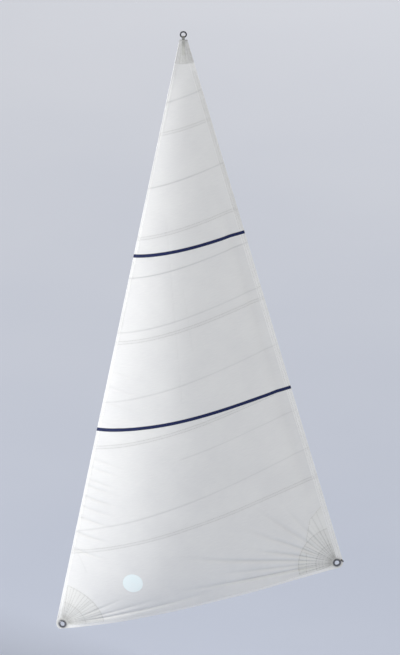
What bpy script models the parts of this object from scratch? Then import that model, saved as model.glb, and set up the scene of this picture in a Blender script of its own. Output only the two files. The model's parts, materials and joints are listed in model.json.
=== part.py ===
"""Crosscut jib for a small yacht, with its tapes, corner patches, draft stripes and corner rings.

Metres, +Z up. The sail is seen from the front when looking along +Y: its luff is on the left, its leech
on the right and its belly stands out towards -Y. The origin is the centre of the tack ring.
"""
import math

import bmesh
import bpy
from mathutils import Matrix, Vector

# Cut of the sail, along its finished edges and seen square to its chord plane
LUFF = 6.03
LEECH = 5.50
FOOT = 2.68
RAKE = math.radians(11.0)
HEAD_CUT = 0.155

# Fullness: depth as a share of the chord, how soon it builds above the foot, and the section's shape
DRAFT = 0.150
FOOT_ROUNDNESS = 0.038
FOOT_RISE = 0.07
HEAD_FLATTENING = 3.0
ENTRY = 0.9
EXIT = 1.3

# Stations of the facets that stand for the curved cloth, as shares of the chord and of the height
ACROSS = (0.0, 0.08, 0.17, 0.28, 0.41, 0.55, 0.70, 0.84, 0.92, 1.0)
UP = (0.0, 0.035, 0.10, 0.20, 0.32, 0.45, 0.58, 0.70, 0.81, 0.90, 0.985)

# Cloth: one layer, the gap left between layers, and the panels
CLOTH = 0.00035
GAP = 0.0003
LOWEST_PANEL = 0.933
PANEL_PITCH = 0.905
PANEL_LAP = 0.030
SEAM_ANGLE = math.radians(93.1)

# Tapes folded over the edges, and the rope and line that they hold
LUFF_TAPE = 0.028
LEECH_TAPE = 0.050
FOOT_TAPE = 0.030
LUFF_ROPE_RADIUS = 0.0030
LEECH_LINE_RADIUS = 0.00125
CORD_SIDES = 12
CORD_SEAT = 0.0002
ROPE_SHORT_OF_CORNER = 0.13
ROPE_SHORT_OF_HEAD = 0.20

# Corner patches: radius of each layer from the ring's centre, largest first
TACK_PATCHES = (0.41, 0.235)
CLEW_PATCHES = (0.39, 0.235)
HEAD_PATCHES = (0.272, 0.170)
PATCH_SIDES = 9
CLEW_COVER = ((-0.280, 0.251), (-0.247, 0.439), (-0.145, 0.558))

# Draft stripes and the blank badge
STRIPE_WIDTH = 0.030
STRIPE_HEIGHTS = {"lower": 0.331, "upper": 0.617}
BADGE_RADIUS = 0.090
BADGE_ALONG_FOOT = 0.731
BADGE_ABOVE_TACK_RING = 0.338
BADGE_SIDES = 24

# Pressed corner rings: a front and a back ring clamped by a turned-over liner
LINER_BORE = 0.0205
LINER_WALL = 0.0016
LINER_FLANGE_WIDTH = 0.0064
LINER_FLANGE_THICKNESS = 0.0012
RING_CLEARANCE = 0.0024
RING_WIDTH = 0.011
RING_THICKNESS = 0.0025
SIDE_MARGIN = 0.0205
TACK_FOOT_MARGIN = 0.0095
CLEW_FOOT_MARGIN = 0.0185
CORNER_MARGIN = 0.019
CORNER_CUTS = 5
TURNED_STEPS = 32

# Head ring, the strap that holds it, and the eyelet where the leech line comes out
HEAD_RING_RADIUS = 0.0265
HEAD_RING_WIRE = 0.0064
HEAD_RING_ABOVE_CUT = 0.024
STRAP_WIDTH = 0.025
STRAP_THICKNESS = 0.0015
STRAP_LEG = 0.150
STRAP_ARC_STEPS = 10
EYELET_ABOVE_RING = 0.012
EYELET_TO_LEECH = 0.012
EYELET_OUTER = 0.0075
EYELET_BORE = 0.0035
EYELET_THICKNESS = 0.0012

LINER_OUTER = LINER_BORE + LINER_WALL
LINER_FLANGE = LINER_OUTER + LINER_FLANGE_WIDTH
RING_HOLE = LINER_OUTER + RING_CLEARANCE
RING_OUTER = RING_HOLE + RING_WIDTH
PITCH_OF_LAYERS = CLOTH + GAP
TAPE_FRONT_LAYER = 1
TAPE_BACK_LAYER = -2
CUT_REACH = 0.05


def clear_scene():
    """Removes every object of the start-up scene."""
    for obj in list(bpy.data.objects):
        bpy.data.objects.remove(obj, do_unlink=True)


def new_collection(name):
    collection = bpy.data.collections.new(name)
    bpy.context.scene.collection.children.link(collection)
    return collection


def new_material(name, colour, roughness, metallic=0.0):
    """A plain Principled material; the colour is linear red, green and blue."""
    material = bpy.data.materials.new(name)
    material.use_nodes = True
    shader = material.node_tree.nodes["Principled BSDF"]
    shader.inputs["Base Color"].default_value = (*colour, 1.0)
    shader.inputs["Roughness"].default_value = roughness
    shader.inputs["Metallic"].default_value = metallic
    material.diffuse_color = (*colour, 1.0)
    return material


clear_scene()
PARTS = new_collection("jib_sail")
CUTTERS = new_collection("cutters")
SAILCLOTH = new_material("sailcloth", (0.80, 0.80, 0.79), 0.75)
TAPE_CLOTH = new_material("tape_cloth", (0.84, 0.84, 0.83), 0.7)
STRIPE_CLOTH = new_material("stripe_cloth", (0.022, 0.030, 0.095), 0.6)
BADGE_FILM = new_material("badge_film", (0.86, 0.93, 0.94), 0.5)
WEBBING = new_material("webbing", (0.72, 0.72, 0.70), 0.85)
CORDAGE = new_material("cordage", (0.78, 0.78, 0.75), 0.8)
STAINLESS = new_material("stainless", (0.36, 0.35, 0.34), 0.32, 1.0)
BRASS = new_material("brass", (0.55, 0.40, 0.16), 0.35, 1.0)


def corner_points():
    """Tack, clew and head corners of the finished edges, as (x, z), before the origin is moved."""
    tack = Vector((0.0, 0.0))
    head = Vector((math.sin(RAKE), math.cos(RAKE))) * LUFF
    between = math.acos((LUFF ** 2 + FOOT ** 2 - LEECH ** 2) / (2 * LUFF * FOOT))
    foot_angle = math.pi / 2 - RAKE - between
    clew = Vector((math.cos(foot_angle), math.sin(foot_angle))) * FOOT
    return tack, clew, head


def outward(start, end):
    """Unit normal on the right of the way from start to end, which is outside an anticlockwise outline."""
    along = (end - start).normalized()
    return Vector((along.y, -along.x))


def inset_crossing(corner, side_normal, side_inset, foot_normal, foot_inset):
    """The point that lies the two insets inside the two edges that meet at the corner."""
    rows = Matrix((side_normal, foot_normal))
    return corner + rows.inverted() @ Vector((-side_inset, -foot_inset))


TACK, CLEW, HEAD = corner_points()
ORIGIN = inset_crossing(TACK, outward(HEAD, TACK), RING_OUTER + SIDE_MARGIN,
                        outward(TACK, CLEW), RING_OUTER + TACK_FOOT_MARGIN)
TACK, CLEW, HEAD = TACK - ORIGIN, CLEW - ORIGIN, HEAD - ORIGIN
LUFF_OUT = outward(HEAD, TACK)
FOOT_OUT = outward(TACK, CLEW)
LEECH_OUT = outward(CLEW, HEAD)
LEECH_UP = (HEAD - CLEW).normalized()
TACK_RING = Vector((0.0, 0.0))
CLEW_RING = inset_crossing(CLEW, LEECH_OUT, RING_OUTER + SIDE_MARGIN,
                           FOOT_OUT, RING_OUTER + CLEW_FOOT_MARGIN)
HEAD_FRONT = HEAD.lerp(TACK, HEAD_CUT / (HEAD - TACK).y)
HEAD_AFT = HEAD.lerp(CLEW, HEAD_CUT / (HEAD - CLEW).y)
HEAD_MIDDLE = (HEAD_FRONT + HEAD_AFT) / 2
HEAD_RING = HEAD_MIDDLE + Vector((0.0, HEAD_RING_ABOVE_CUT + HEAD_RING_RADIUS))
PANEL_COUNT = 1 + math.ceil(((HEAD_AFT - CLEW).length - LOWEST_PANEL) / PANEL_PITCH)


def section(across):
    """Depth of the section at a share of the chord, 1 at its deepest: a power of each end's distance."""
    deepest = ENTRY / (ENTRY + EXIT)
    peak = deepest ** ENTRY * (1 - deepest) ** EXIT
    return across ** ENTRY * (1 - across) ** EXIT / peak


def draft(up):
    """Depth as a share of the chord at a share of the height: it builds over the foot, fades to the head."""
    built = 1 - math.exp(-(up + FOOT_ROUNDNESS) / FOOT_RISE)
    return DRAFT * built * (1 - up ** HEAD_FLATTENING)


def sail_point(across, up):
    """Point of the cloth: on the straight chord from luff to leech, pushed forward by the depth there."""
    chord_start = TACK.lerp(HEAD, up)
    chord_end = CLEW.lerp(HEAD, up)
    spot = chord_start.lerp(chord_end, across)
    depth = (chord_end - chord_start).length * draft(up) * section(across)
    return Vector((spot.x, -depth, spot.y))


def base_surface():
    """The cloth's surface in flat facets, one bmesh that every cloth piece is cut from."""
    mesh = bmesh.new()
    rows = [[mesh.verts.new(sail_point(across, up)) for across in ACROSS] for up in UP]
    for low, high in zip(rows, rows[1:]):
        for i in range(len(ACROSS) - 1):
            a, b, c, d = low[i], low[i + 1], high[i + 1], high[i]
            leans_left = ACROSS[i] < 0.5
            faces = ((a, b, d), (b, c, d)) if leans_left else ((a, b, c), (a, c, d))
            for face in faces:
                mesh.faces.new(face)
    bmesh.ops.recalc_face_normals(mesh, faces=mesh.faces)
    mesh.normal_update()
    if mesh.faces[0].normal.y > 0:
        bmesh.ops.reverse_faces(mesh, faces=mesh.faces)
    return mesh


def facet_at(surface, spot):
    """Point and normal of the facet that lies under the (x, z) spot."""
    for face in surface.faces:
        corners = [Vector((v.co.x, v.co.z)) for v in face.verts]
        turns = [(b - a).cross(spot - a) for a, b in zip(corners, corners[1:] + corners[:1])]
        if min(turns) >= 0 or max(turns) <= 0:
            away = face.verts[0].co
            drop = (face.normal.x * (spot.x - away.x) + face.normal.z * (spot.y - away.z)) / face.normal.y
            return Vector((spot.x, away.y - drop, spot.y)), face.normal.copy()
    raise ValueError("no facet under this spot")


BASE = base_surface()
bmesh.ops.translate(BASE, verts=BASE.verts, vec=(0.0, -facet_at(BASE, TACK_RING)[0].y, 0.0))


def edge_side(corner, normal, inset):
    """The line that lies this inset inside a finished edge, as a point and its outward normal."""
    return corner - normal * inset, normal


def luff_side(inset):
    return edge_side(TACK, LUFF_OUT, inset)


def leech_side(inset):
    return edge_side(CLEW, LEECH_OUT, inset)


def foot_side(inset):
    return edge_side(TACK, FOOT_OUT, inset)


def head_side():
    return HEAD_MIDDLE, Vector((0.0, 1.0))


def corner_rounding(ring, first, last):
    """Tangents to a circle round a corner ring, between the outward normals of its two edges."""
    reach = RING_OUTER + CORNER_MARGIN
    start = math.atan2(first.y, first.x)
    sweep = first.angle_signed(last)
    for i in range(CORNER_CUTS):
        angle = start - sweep * (i + 0.5) / CORNER_CUTS
        way = Vector((math.cos(angle), math.sin(angle)))
        yield ring + way * reach, way


def tack_rounding():
    return list(corner_rounding(TACK_RING, LUFF_OUT, FOOT_OUT))


def clew_rounding():
    return list(corner_rounding(CLEW_RING, FOOT_OUT, LEECH_OUT))


def disc_sides(centre, radius, sides, start=0.0, sweep=2 * math.pi):
    """Lines that cut a round outline: a tangent for each side, spread over the sweep."""
    for i in range(sides):
        angle = start + sweep * (i + 0.5) / sides
        way = Vector((math.cos(angle), math.sin(angle)))
        yield centre + way * radius, way


def cut_sheet(sides):
    """A copy of the base surface, cut back to the inside of each line."""
    sheet = BASE.copy()
    for spot, way in sides:
        geometry = sheet.verts[:] + sheet.edges[:] + sheet.faces[:]
        bmesh.ops.bisect_plane(sheet, geom=geometry, dist=1e-7, clear_outer=True,
                               plane_co=(spot.x, 0.0, spot.y), plane_no=(way.x, 0.0, way.y))
    return sheet


def add_object(name, mesh, material, collection=PARTS):
    obj = bpy.data.objects.new(name, mesh)
    mesh.materials.append(material)
    collection.objects.link(obj)
    return obj


def mesh_from(name, shape):
    mesh = bpy.data.meshes.new(name)
    shape.to_mesh(mesh)
    shape.free()
    return mesh


def thicken(obj, low, high):
    """Gives the sheet a wall from low to high in front of the base surface."""
    wall = obj.modifiers.new("wall", "SOLIDIFY")
    wall.thickness = high - low
    wall.offset = (high + low) / (high - low)
    wall.use_even_offset = True
    return obj


def layer_span(layer):
    """Back and front of a cloth layer; layer 0 starts on the base surface and higher ones lie before it."""
    return layer * PITCH_OF_LAYERS, layer * PITCH_OF_LAYERS + CLOTH


def cloth_piece(name, sides, layer, material):
    """A flat-cut piece of cloth that lies on the sail's surface in the given layer."""
    obj = add_object(name, mesh_from(name, cut_sheet(sides)), material)
    return thicken(obj, *layer_span(layer))


def combine(obj, other, operation, solver="EXACT"):
    step = obj.modifiers.new(operation.lower(), "BOOLEAN")
    step.operation = operation
    step.solver = solver
    step.object = other
    other.hide_render = True
    other.display_type = "WIRE"
    return obj


def turn_to(normal):
    """Rotation that takes +Z to the given direction."""
    return Vector((0.0, 0.0, 1.0)).rotation_difference(normal)


def rod(name, start, end, radius, material, collection=PARTS, sides=CORD_SIDES):
    """A straight round bar from start to end."""
    shape = bmesh.new()
    bmesh.ops.create_cone(shape, cap_ends=True, segments=sides, radius1=radius, radius2=radius,
                          depth=(end - start).length)
    obj = add_object(name, mesh_from(name, shape), material, collection)
    obj.rotation_mode = "QUATERNION"
    obj.rotation_quaternion = turn_to((end - start).normalized())
    obj.location = (start + end) / 2
    return obj


def turned_ring(name, profile, centre, normal, material):
    """A ring turned from a closed profile of (radius, height) points about the normal."""
    mesh = bpy.data.meshes.new(name)
    points = [(radius, 0.0, height) for radius, height in profile]
    loop = [(i, (i + 1) % len(points)) for i in range(len(points))]
    mesh.from_pydata(points, loop, [])
    obj = add_object(name, mesh, material)
    screw = obj.modifiers.new("turn", "SCREW")
    screw.steps = TURNED_STEPS
    screw.render_steps = TURNED_STEPS
    screw.use_merge_vertices = True
    screw.merge_threshold = 0.00001
    screw.use_smooth_shade = True
    obj.rotation_mode = "QUATERNION"
    obj.rotation_quaternion = turn_to(normal)
    obj.location = centre
    return obj


def seam_line(number):
    """Seam above the given panel: it starts on the leech and runs down to the luff."""
    start = CLEW + LEECH_UP * (LOWEST_PANEL + PANEL_PITCH * (number - 1))
    way = Matrix.Rotation(SEAM_ANGLE, 2) @ LEECH_UP
    return start, Vector((way.y, -way.x))


def panel_layer(number):
    """Panels lie in two layers in turn, so that each laps its neighbour."""
    return 0 if number % 2 else -1


def cloth_inset(cord_radius):
    """Distance from a finished edge to the cloth's own edge, inside the tape and its cord."""
    if cord_radius:
        return cord_inset(cord_radius) + cord_radius + GAP
    return CLOTH + GAP


def cord_inset(cord_radius):
    """Distance from a finished edge to the middle of the cord in its tape."""
    return CLOTH + GAP + CORD_SEAT + cord_radius


def make_panels():
    edges = [luff_side(cloth_inset(LUFF_ROPE_RADIUS)), leech_side(cloth_inset(LEECH_LINE_RADIUS)),
             foot_side(cloth_inset(0.0))] + tack_rounding() + clew_rounding()
    for number in range(1, PANEL_COUNT + 1):
        sides = list(edges)
        if number < PANEL_COUNT:
            sides.append(seam_line(number))
        else:
            sides.append(head_side())
        if number > 1:
            spot, way = seam_line(number - 1)
            sides.append((spot - way * PANEL_LAP, -way))
        panel = cloth_piece("panel_%d" % number, sides, panel_layer(number), SAILCLOTH)
        if number == 1:
            pierce(panel, "tack")
            pierce(panel, "clew")


def ring_drill(corner_name, ring):
    """Cutter for the hole that a corner ring's liner passes through."""
    spot, normal = facet_at(BASE, ring)
    radius = (LINER_OUTER + GAP) / math.cos(math.pi / TURNED_STEPS)
    ends = (spot - normal * CUT_REACH, spot + normal * CUT_REACH)
    return rod("drill_" + corner_name, *ends, radius, STAINLESS, CUTTERS, TURNED_STEPS)


def pierce(obj, corner_name, solver="EXACT"):
    combine(obj, DRILLS[corner_name], "DIFFERENCE", solver)


def below_first_lap():
    """The line just below the lap of the first two panels, which the low patches stay under."""
    spot, way = seam_line(1)
    return spot - way * (PANEL_LAP + GAP), way


def patch_sides(corner_name, radius):
    """Outline of a corner patch: inside the tapes, and round about the ring's centre."""
    luff, leech, foot = LUFF_TAPE + GAP, LEECH_TAPE + GAP, FOOT_TAPE + GAP
    if corner_name == "tack":
        start = math.atan2(FOOT_OUT.y, FOOT_OUT.x)
        sides = [luff_side(luff), foot_side(foot), below_first_lap()] + tack_rounding()
        return sides + list(disc_sides(TACK_RING, radius, PATCH_SIDES, start, math.pi))
    if corner_name == "clew":
        start = math.atan2(LEECH_OUT.y, LEECH_OUT.x)
        sides = [leech_side(leech), foot_side(foot), below_first_lap()] + clew_rounding()
        return sides + list(disc_sides(CLEW_RING, radius, PATCH_SIDES, start, math.pi))
    round_cut = disc_sides(HEAD_RING, radius, PATCH_SIDES, math.pi, math.pi)
    return [luff_side(luff), leech_side(leech), head_side()] + list(round_cut)


def cover_sides():
    """Outline of the outermost clew layer: upright at the front, then slanting back to the leech tape."""
    corners = [CLEW_RING + Vector(point) for point in CLEW_COVER]
    below = Vector((corners[0].x, CLEW.y - CUT_REACH))
    chain = [below] + corners
    sides = [leech_side(LEECH_TAPE + GAP), foot_side(FOOT_TAPE + GAP), below_first_lap()]
    sides += clew_rounding()
    return sides + [(low, -outward(low, high)) for low, high in zip(chain, chain[1:])]


def make_patches():
    """Stacks of patches on both sides of each corner, largest next to the panel."""
    top_panel = panel_layer(PANEL_COUNT)
    stacks = {"tack": (TACK_PATCHES, 1, -1), "clew": (CLEW_PATCHES, 2, -1),
              "head": (HEAD_PATCHES, top_panel + 1, top_panel - 1)}
    for corner_name, (radii, first_front, first_back) in stacks.items():
        for number, radius in enumerate(radii):
            places = (("front", first_front + number), ("back", first_back - number))
            for face, layer in places:
                name = "%s_patch_%s_%d" % (corner_name, face, number + 1)
                patch = cloth_piece(name, patch_sides(corner_name, radius), layer, SAILCLOTH)
                if corner_name != "head":
                    pierce(patch, corner_name)
    cover = cloth_piece("clew_cover_patch", cover_sides(), 1, SAILCLOTH)
    pierce(cover, "clew")


def edge_slab(name, sides, span, material, collection=PARTS):
    """A slab with this outline in plan, between two heights in front of the base surface."""
    obj = add_object(name, mesh_from(name, cut_sheet(sides)), material, collection)
    return thicken(obj, *span)


def folded_tape(name, edge, width, ends, material):
    """A tape folded over an edge: a slab with a slot for the cloth cut out of it."""
    back = layer_span(TAPE_BACK_LAYER)
    front = layer_span(TAPE_FRONT_LAYER)
    inner, way = edge(width)
    beyond = edge(width + CUT_REACH)[0]
    tape = edge_slab(name, [edge(0.0), (inner, -way)] + ends, (back[0], front[1]), material)
    slot_sides = [edge(CLOTH), (beyond, -way)]
    slot = edge_slab(name + "_slot", slot_sides, (back[1], front[0]), material, CUTTERS)
    combine(tape, slot, "DIFFERENCE", "MANIFOLD")
    return tape


def edge_line(corner, top, normal, inset):
    """Straight line of a rope or line inside its tape, from above the corner to below the head."""
    along = (top - corner).normalized()
    low = corner - normal * inset + along * ROPE_SHORT_OF_CORNER
    high = top - normal * inset - along * ROPE_SHORT_OF_HEAD
    middle = Vector((0.0, (layer_span(0)[1] + layer_span(-1)[0]) / 2, 0.0))
    return facet_at(BASE, low)[0] - middle, facet_at(BASE, high)[0] - middle


def corded_tape(tape, cord_name, line, cord_radius):
    """Adds to a folded tape the round channel for its cord, and makes the cord in it."""
    start, end = line
    along = (end - start).normalized()
    inner, outer = cord_radius + GAP, cord_radius + GAP + CLOTH
    channel = rod(tape.name + "_channel", start, end, outer, TAPE_CLOTH, CUTTERS)
    combine(tape, channel, "UNION", "MANIFOLD")
    tape.modifiers.move(len(tape.modifiers) - 1, 1)
    bore = rod(tape.name + "_bore", start - along * CUT_REACH, end + along * CUT_REACH, inner,
               TAPE_CLOTH, CUTTERS)
    combine(tape, bore, "DIFFERENCE", "MANIFOLD")
    rod(cord_name, start + along * GAP, end - along * GAP, cord_radius, CORDAGE)


def make_tapes():
    luff = folded_tape("luff_tape", luff_side, LUFF_TAPE, [head_side()] + tack_rounding(), TAPE_CLOTH)
    luff_line = edge_line(TACK, HEAD, LUFF_OUT, cord_inset(LUFF_ROPE_RADIUS))
    corded_tape(luff, "luff_rope", luff_line, LUFF_ROPE_RADIUS)
    leech_ends = [head_side(), luff_side(LUFF_TAPE + GAP)] + clew_rounding()
    leech = folded_tape("leech_tape", leech_side, LEECH_TAPE, leech_ends, TAPE_CLOTH)
    leech_line = edge_line(CLEW, HEAD, LEECH_OUT, cord_inset(LEECH_LINE_RADIUS))
    corded_tape(leech, "leech_line", leech_line, LEECH_LINE_RADIUS)
    ends = [luff_side(LUFF_TAPE + GAP), leech_side(LEECH_TAPE + GAP)]
    foot = folded_tape("foot_tape", foot_side, FOOT_TAPE, ends, TAPE_CLOTH)
    pierce(luff, "tack", "MANIFOLD")
    pierce(leech, "clew", "MANIFOLD")
    pierce(foot, "tack", "MANIFOLD")
    pierce(foot, "clew", "MANIFOLD")


def make_stripes():
    """Draft stripes on both sides, each parallel to the line from tack to clew."""
    for place, share in STRIPE_HEIGHTS.items():
        middle = TACK.lerp(HEAD, share)
        for face, layer in (("front", TAPE_FRONT_LAYER + 1), ("back", TAPE_BACK_LAYER - 1)):
            sides = [(middle - FOOT_OUT * STRIPE_WIDTH / 2, -FOOT_OUT),
                     (middle + FOOT_OUT * STRIPE_WIDTH / 2, FOOT_OUT),
                     luff_side(2 * (CLOTH + GAP + LUFF_ROPE_RADIUS) + CLOTH + GAP),
                     leech_side(2 * (CLOTH + GAP + LEECH_LINE_RADIUS) + CLOTH + GAP)]
            cloth_piece("%s_stripe_%s" % (place, face), sides, layer, STRIPE_CLOTH)


def make_badge():
    centre = TACK_RING + (CLEW - TACK).normalized() * BADGE_ALONG_FOOT - FOOT_OUT * BADGE_ABOVE_TACK_RING
    sides = disc_sides(centre, BADGE_RADIUS, BADGE_SIDES)
    cloth_piece("blank_badge", sides, 1, BADGE_FILM)


def ring_profile(low):
    """Section of a pressed ring: flat faces with eased corners."""
    ease = RING_THICKNESS / 4
    high = low + RING_THICKNESS
    return [(RING_HOLE, low), (RING_HOLE, high), (RING_OUTER - ease, high), (RING_OUTER, high - ease),
            (RING_OUTER, low)]


def make_pressed_ring(corner_name, ring, front_layer, back_layer):
    """Front and back rings on the cloth stack, and the liner turned over both."""
    spot, normal = facet_at(BASE, ring)
    front = layer_span(front_layer)[1] + GAP
    back = layer_span(back_layer)[0] - GAP
    turned_ring(corner_name + "_ring_front", ring_profile(front), spot, normal, STAINLESS)
    turned_ring(corner_name + "_ring_back", ring_profile(back - RING_THICKNESS), spot, normal, STAINLESS)
    top = front + RING_THICKNESS + GAP
    bottom = back - RING_THICKNESS - GAP
    lip = LINER_FLANGE_THICKNESS
    liner = [(LINER_BORE, bottom), (LINER_BORE, top), (LINER_BORE + lip, top + lip),
             (LINER_FLANGE - lip / 2, top + lip), (LINER_FLANGE, top), (LINER_OUTER, top),
             (LINER_OUTER, bottom), (LINER_FLANGE, bottom), (LINER_FLANGE - lip / 2, bottom - lip),
             (LINER_BORE + lip, bottom - lip)]
    turned_ring(corner_name + "_ring_liner", liner, spot, normal, STAINLESS)


def make_head():
    """The round ring at the head, and the webbing strap that goes through it and down both faces."""
    spot, normal = facet_at(BASE, HEAD_MIDDLE - Vector((0.0, STRAP_LEG / 2)))
    up = Vector((0.0, 0.0, 1.0)) - normal * normal.z
    up.normalize()
    sideways = up.cross(normal)
    frame = Matrix((sideways, -normal, up)).transposed().to_4x4()
    frame.translation = spot
    hinge_height = HEAD_RING_ABOVE_CUT + STRAP_LEG / 2
    hinge = frame @ Vector((0.0, 0.0, hinge_height))
    pivot = bpy.data.objects.new("head_ring_pivot", None)
    pivot.matrix_world = Matrix.Translation(hinge) @ frame.to_3x3().to_4x4()
    PARTS.objects.link(pivot)

    bpy.ops.mesh.primitive_torus_add(major_radius=HEAD_RING_RADIUS, minor_radius=HEAD_RING_WIRE,
                                     major_segments=36, minor_segments=12)
    ring = bpy.context.active_object
    ring.name = "head_ring"
    ring.data.name = "head_ring"
    for collection in list(ring.users_collection):
        collection.objects.unlink(ring)
    PARTS.objects.link(ring)
    ring.data.materials.append(STAINLESS)
    ring.data.shade_smooth()
    ring.rotation_euler = (math.pi / 2, 0.0, 0.0)
    ring.location = (0.0, 0.0, HEAD_RING_RADIUS)
    ring.parent = pivot

    slant = math.asin(STRAP_WIDTH / 2 / HEAD_RING_RADIUS)
    rise_of_ring = HEAD_RING_RADIUS * (1 - math.cos(slant))
    loop_radius = HEAD_RING_WIRE / math.cos(slant) + rise_of_ring + 4 * GAP
    top_panel = panel_layer(PANEL_COUNT)
    front_layer = max(TAPE_FRONT_LAYER, top_panel + len(HEAD_PATCHES))
    back_layer = min(TAPE_BACK_LAYER, top_panel - len(HEAD_PATCHES))
    front = layer_span(front_layer)[1] + 2 * GAP
    back = -(layer_span(back_layer)[0] - 2 * GAP)
    arc = [math.pi * i / STRAP_ARC_STEPS for i in range(STRAP_ARC_STEPS + 1)]
    path = [(-front, -STRAP_LEG / 2), (-front, STRAP_LEG / 2)]
    path += [(-loop_radius * math.cos(a), hinge_height + loop_radius * math.sin(a)) for a in arc]
    path += [(back, STRAP_LEG / 2), (back, -STRAP_LEG / 2)]
    sheet = bmesh.new()
    sides = [[sheet.verts.new((x, y, z)) for y, z in path] for x in (-STRAP_WIDTH / 2, STRAP_WIDTH / 2)]
    for i in range(len(path) - 1):
        sheet.faces.new((sides[0][i], sides[1][i], sides[1][i + 1], sides[0][i + 1]))
    strap = add_object("head_strap", mesh_from("head_strap", sheet), WEBBING)
    strap.matrix_world = frame
    thicken(strap, 0.0, STRAP_THICKNESS)


def make_eyelet():
    """The small eyelet beside the clew where the leech line comes out of its tape."""
    aft = RING_OUTER + SIDE_MARGIN - EYELET_TO_LEECH
    spot_flat = CLEW_RING + LEECH_UP * EYELET_ABOVE_RING + LEECH_OUT * aft
    spot, normal = facet_at(BASE, spot_flat)
    low = layer_span(TAPE_FRONT_LAYER)[1] + GAP
    high = low + EYELET_THICKNESS
    ease = EYELET_THICKNESS / 3
    profile = [(EYELET_BORE, low), (EYELET_BORE, high), (EYELET_OUTER - ease, high), (EYELET_OUTER, low)]
    turned_ring("leech_line_eyelet", profile, spot, normal, BRASS)


DRILLS = {"tack": ring_drill("tack", TACK_RING), "clew": ring_drill("clew", CLEW_RING)}
make_panels()
make_patches()
make_tapes()
make_stripes()
make_badge()
make_pressed_ring("tack", TACK_RING, 2, -2)
make_pressed_ring("clew", CLEW_RING, 3, -2)
make_head()
make_eyelet()
BASE.free()
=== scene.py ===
"""A crosscut jib of white woven polyester: its looks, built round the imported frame.

Metres, +Z up, with the origin in the tack ring. Seen from the front, the luff is on the left, the leech
on the right, and the belly stands out towards -Y. A plan point is an (x, z) place seen square from the
front, a plan is an array of them, and a height is a distance in front of the cloth's own surface, along
its normal.
"""
import json
import math

import bpy
import numpy as np
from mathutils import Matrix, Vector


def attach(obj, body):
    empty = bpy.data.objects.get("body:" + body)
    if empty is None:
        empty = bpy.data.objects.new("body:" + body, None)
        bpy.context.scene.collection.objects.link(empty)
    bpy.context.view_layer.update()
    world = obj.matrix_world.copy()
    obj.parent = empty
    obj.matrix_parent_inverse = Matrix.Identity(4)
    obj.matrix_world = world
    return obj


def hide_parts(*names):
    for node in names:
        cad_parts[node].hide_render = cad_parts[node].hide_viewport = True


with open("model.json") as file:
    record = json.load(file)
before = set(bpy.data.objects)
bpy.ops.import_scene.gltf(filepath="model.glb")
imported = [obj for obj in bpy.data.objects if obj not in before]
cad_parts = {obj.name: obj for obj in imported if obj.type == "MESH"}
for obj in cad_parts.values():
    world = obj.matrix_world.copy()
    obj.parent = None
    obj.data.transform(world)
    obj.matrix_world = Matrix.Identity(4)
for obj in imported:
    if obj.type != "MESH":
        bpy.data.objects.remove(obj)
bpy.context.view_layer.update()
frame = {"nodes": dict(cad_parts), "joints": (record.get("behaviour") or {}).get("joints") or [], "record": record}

# The cut of the sail
# A jib is sewn from flat cloth, shaped at its seams so that it fills. Its three finished edges run
# straight between the corners, and its belly is deepest at two fifths of the way from luff to leech.
LUFF = 6.03
LEECH = 5.50
FOOT = 2.68
RAKE = math.radians(11.0)
HEAD_CUT = 0.155
RING_TO_SIDE = 0.056
TACK_RING_TO_FOOT = 0.045
CLEW_RING_TO_FOOT = 0.054
DRAFT = 0.150
FOOT_ROUNDNESS = 0.038
FOOT_RISE = 0.07
HEAD_FLATTENING = 3.0
ENTRY = 0.9
EXIT = 1.3
FIRST_FACET = 0.08


def unit(vectors):
    """Vectors brought to length 1."""
    vectors = np.asarray(vectors, float)
    return vectors / np.linalg.norm(vectors, axis=-1, keepdims=True)


def outward(start, end):
    """Unit normal on the right of the way from start to end, outside an anticlockwise outline."""
    along = unit(end - start)
    return np.array([along[1], -along[0]])


def crossing(line, other):
    """Where two lines meet; a line is a point on it and its outward normal."""
    offsets = [line[0] @ line[1], other[0] @ other[1]]
    return np.linalg.solve(np.array([line[1], other[1]]), offsets)


def inward(line, distance):
    """The same line moved in against its normal."""
    return line[0] - line[1] * distance, line[1]


def inside(line, plan):
    """How far plan points lie inside a line."""
    return (line[0] - plan) @ line[1]


def apart(plan, spot):
    """Distance of plan points from one of them."""
    return np.linalg.norm(plan - spot, axis=-1)


def smooth(start, end, value):
    """0 up to start and 1 from end on, with a cubic between them that starts and ends level."""
    share = np.clip((value - start) / (end - start), 0.0, 1.0)
    return share * share * (3.0 - 2.0 * share)


def window(value, *places):
    """0 up to the first place, 1 from the second to the third, and 0 again from the fourth on."""
    return smooth(*places[:2], value) * (1 - smooth(*places[2:], value))


TACK = np.zeros(2)
HEAD = LUFF * np.array([math.sin(RAKE), math.cos(RAKE)])
tack_angle = math.acos((LUFF ** 2 + FOOT ** 2 - LEECH ** 2) / (2 * LUFF * FOOT))
foot_slope = math.pi / 2 - RAKE - tack_angle
CLEW = FOOT * np.array([math.cos(foot_slope), math.sin(foot_slope)])
LUFF_OUT = outward(HEAD, TACK)
FOOT_OUT = outward(TACK, CLEW)
LEECH_OUT = outward(CLEW, HEAD)
origin = crossing(inward((TACK, LUFF_OUT), RING_TO_SIDE), inward((TACK, FOOT_OUT), TACK_RING_TO_FOOT))
TACK, CLEW, HEAD = TACK - origin, CLEW - origin, HEAD - origin
LUFF_UP, LEECH_UP, FOOT_AFT = unit(HEAD - TACK), unit(HEAD - CLEW), unit(CLEW - TACK)
LUFF_SIDE, LEECH_SIDE, FOOT_SIDE = (TACK, LUFF_OUT), (CLEW, LEECH_OUT), (TACK, FOOT_OUT)
HEAD_SIDE = (np.array([0.0, HEAD[1] - HEAD_CUT]), np.array([0.0, 1.0]))
TACK_RING = np.zeros(2)
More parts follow.
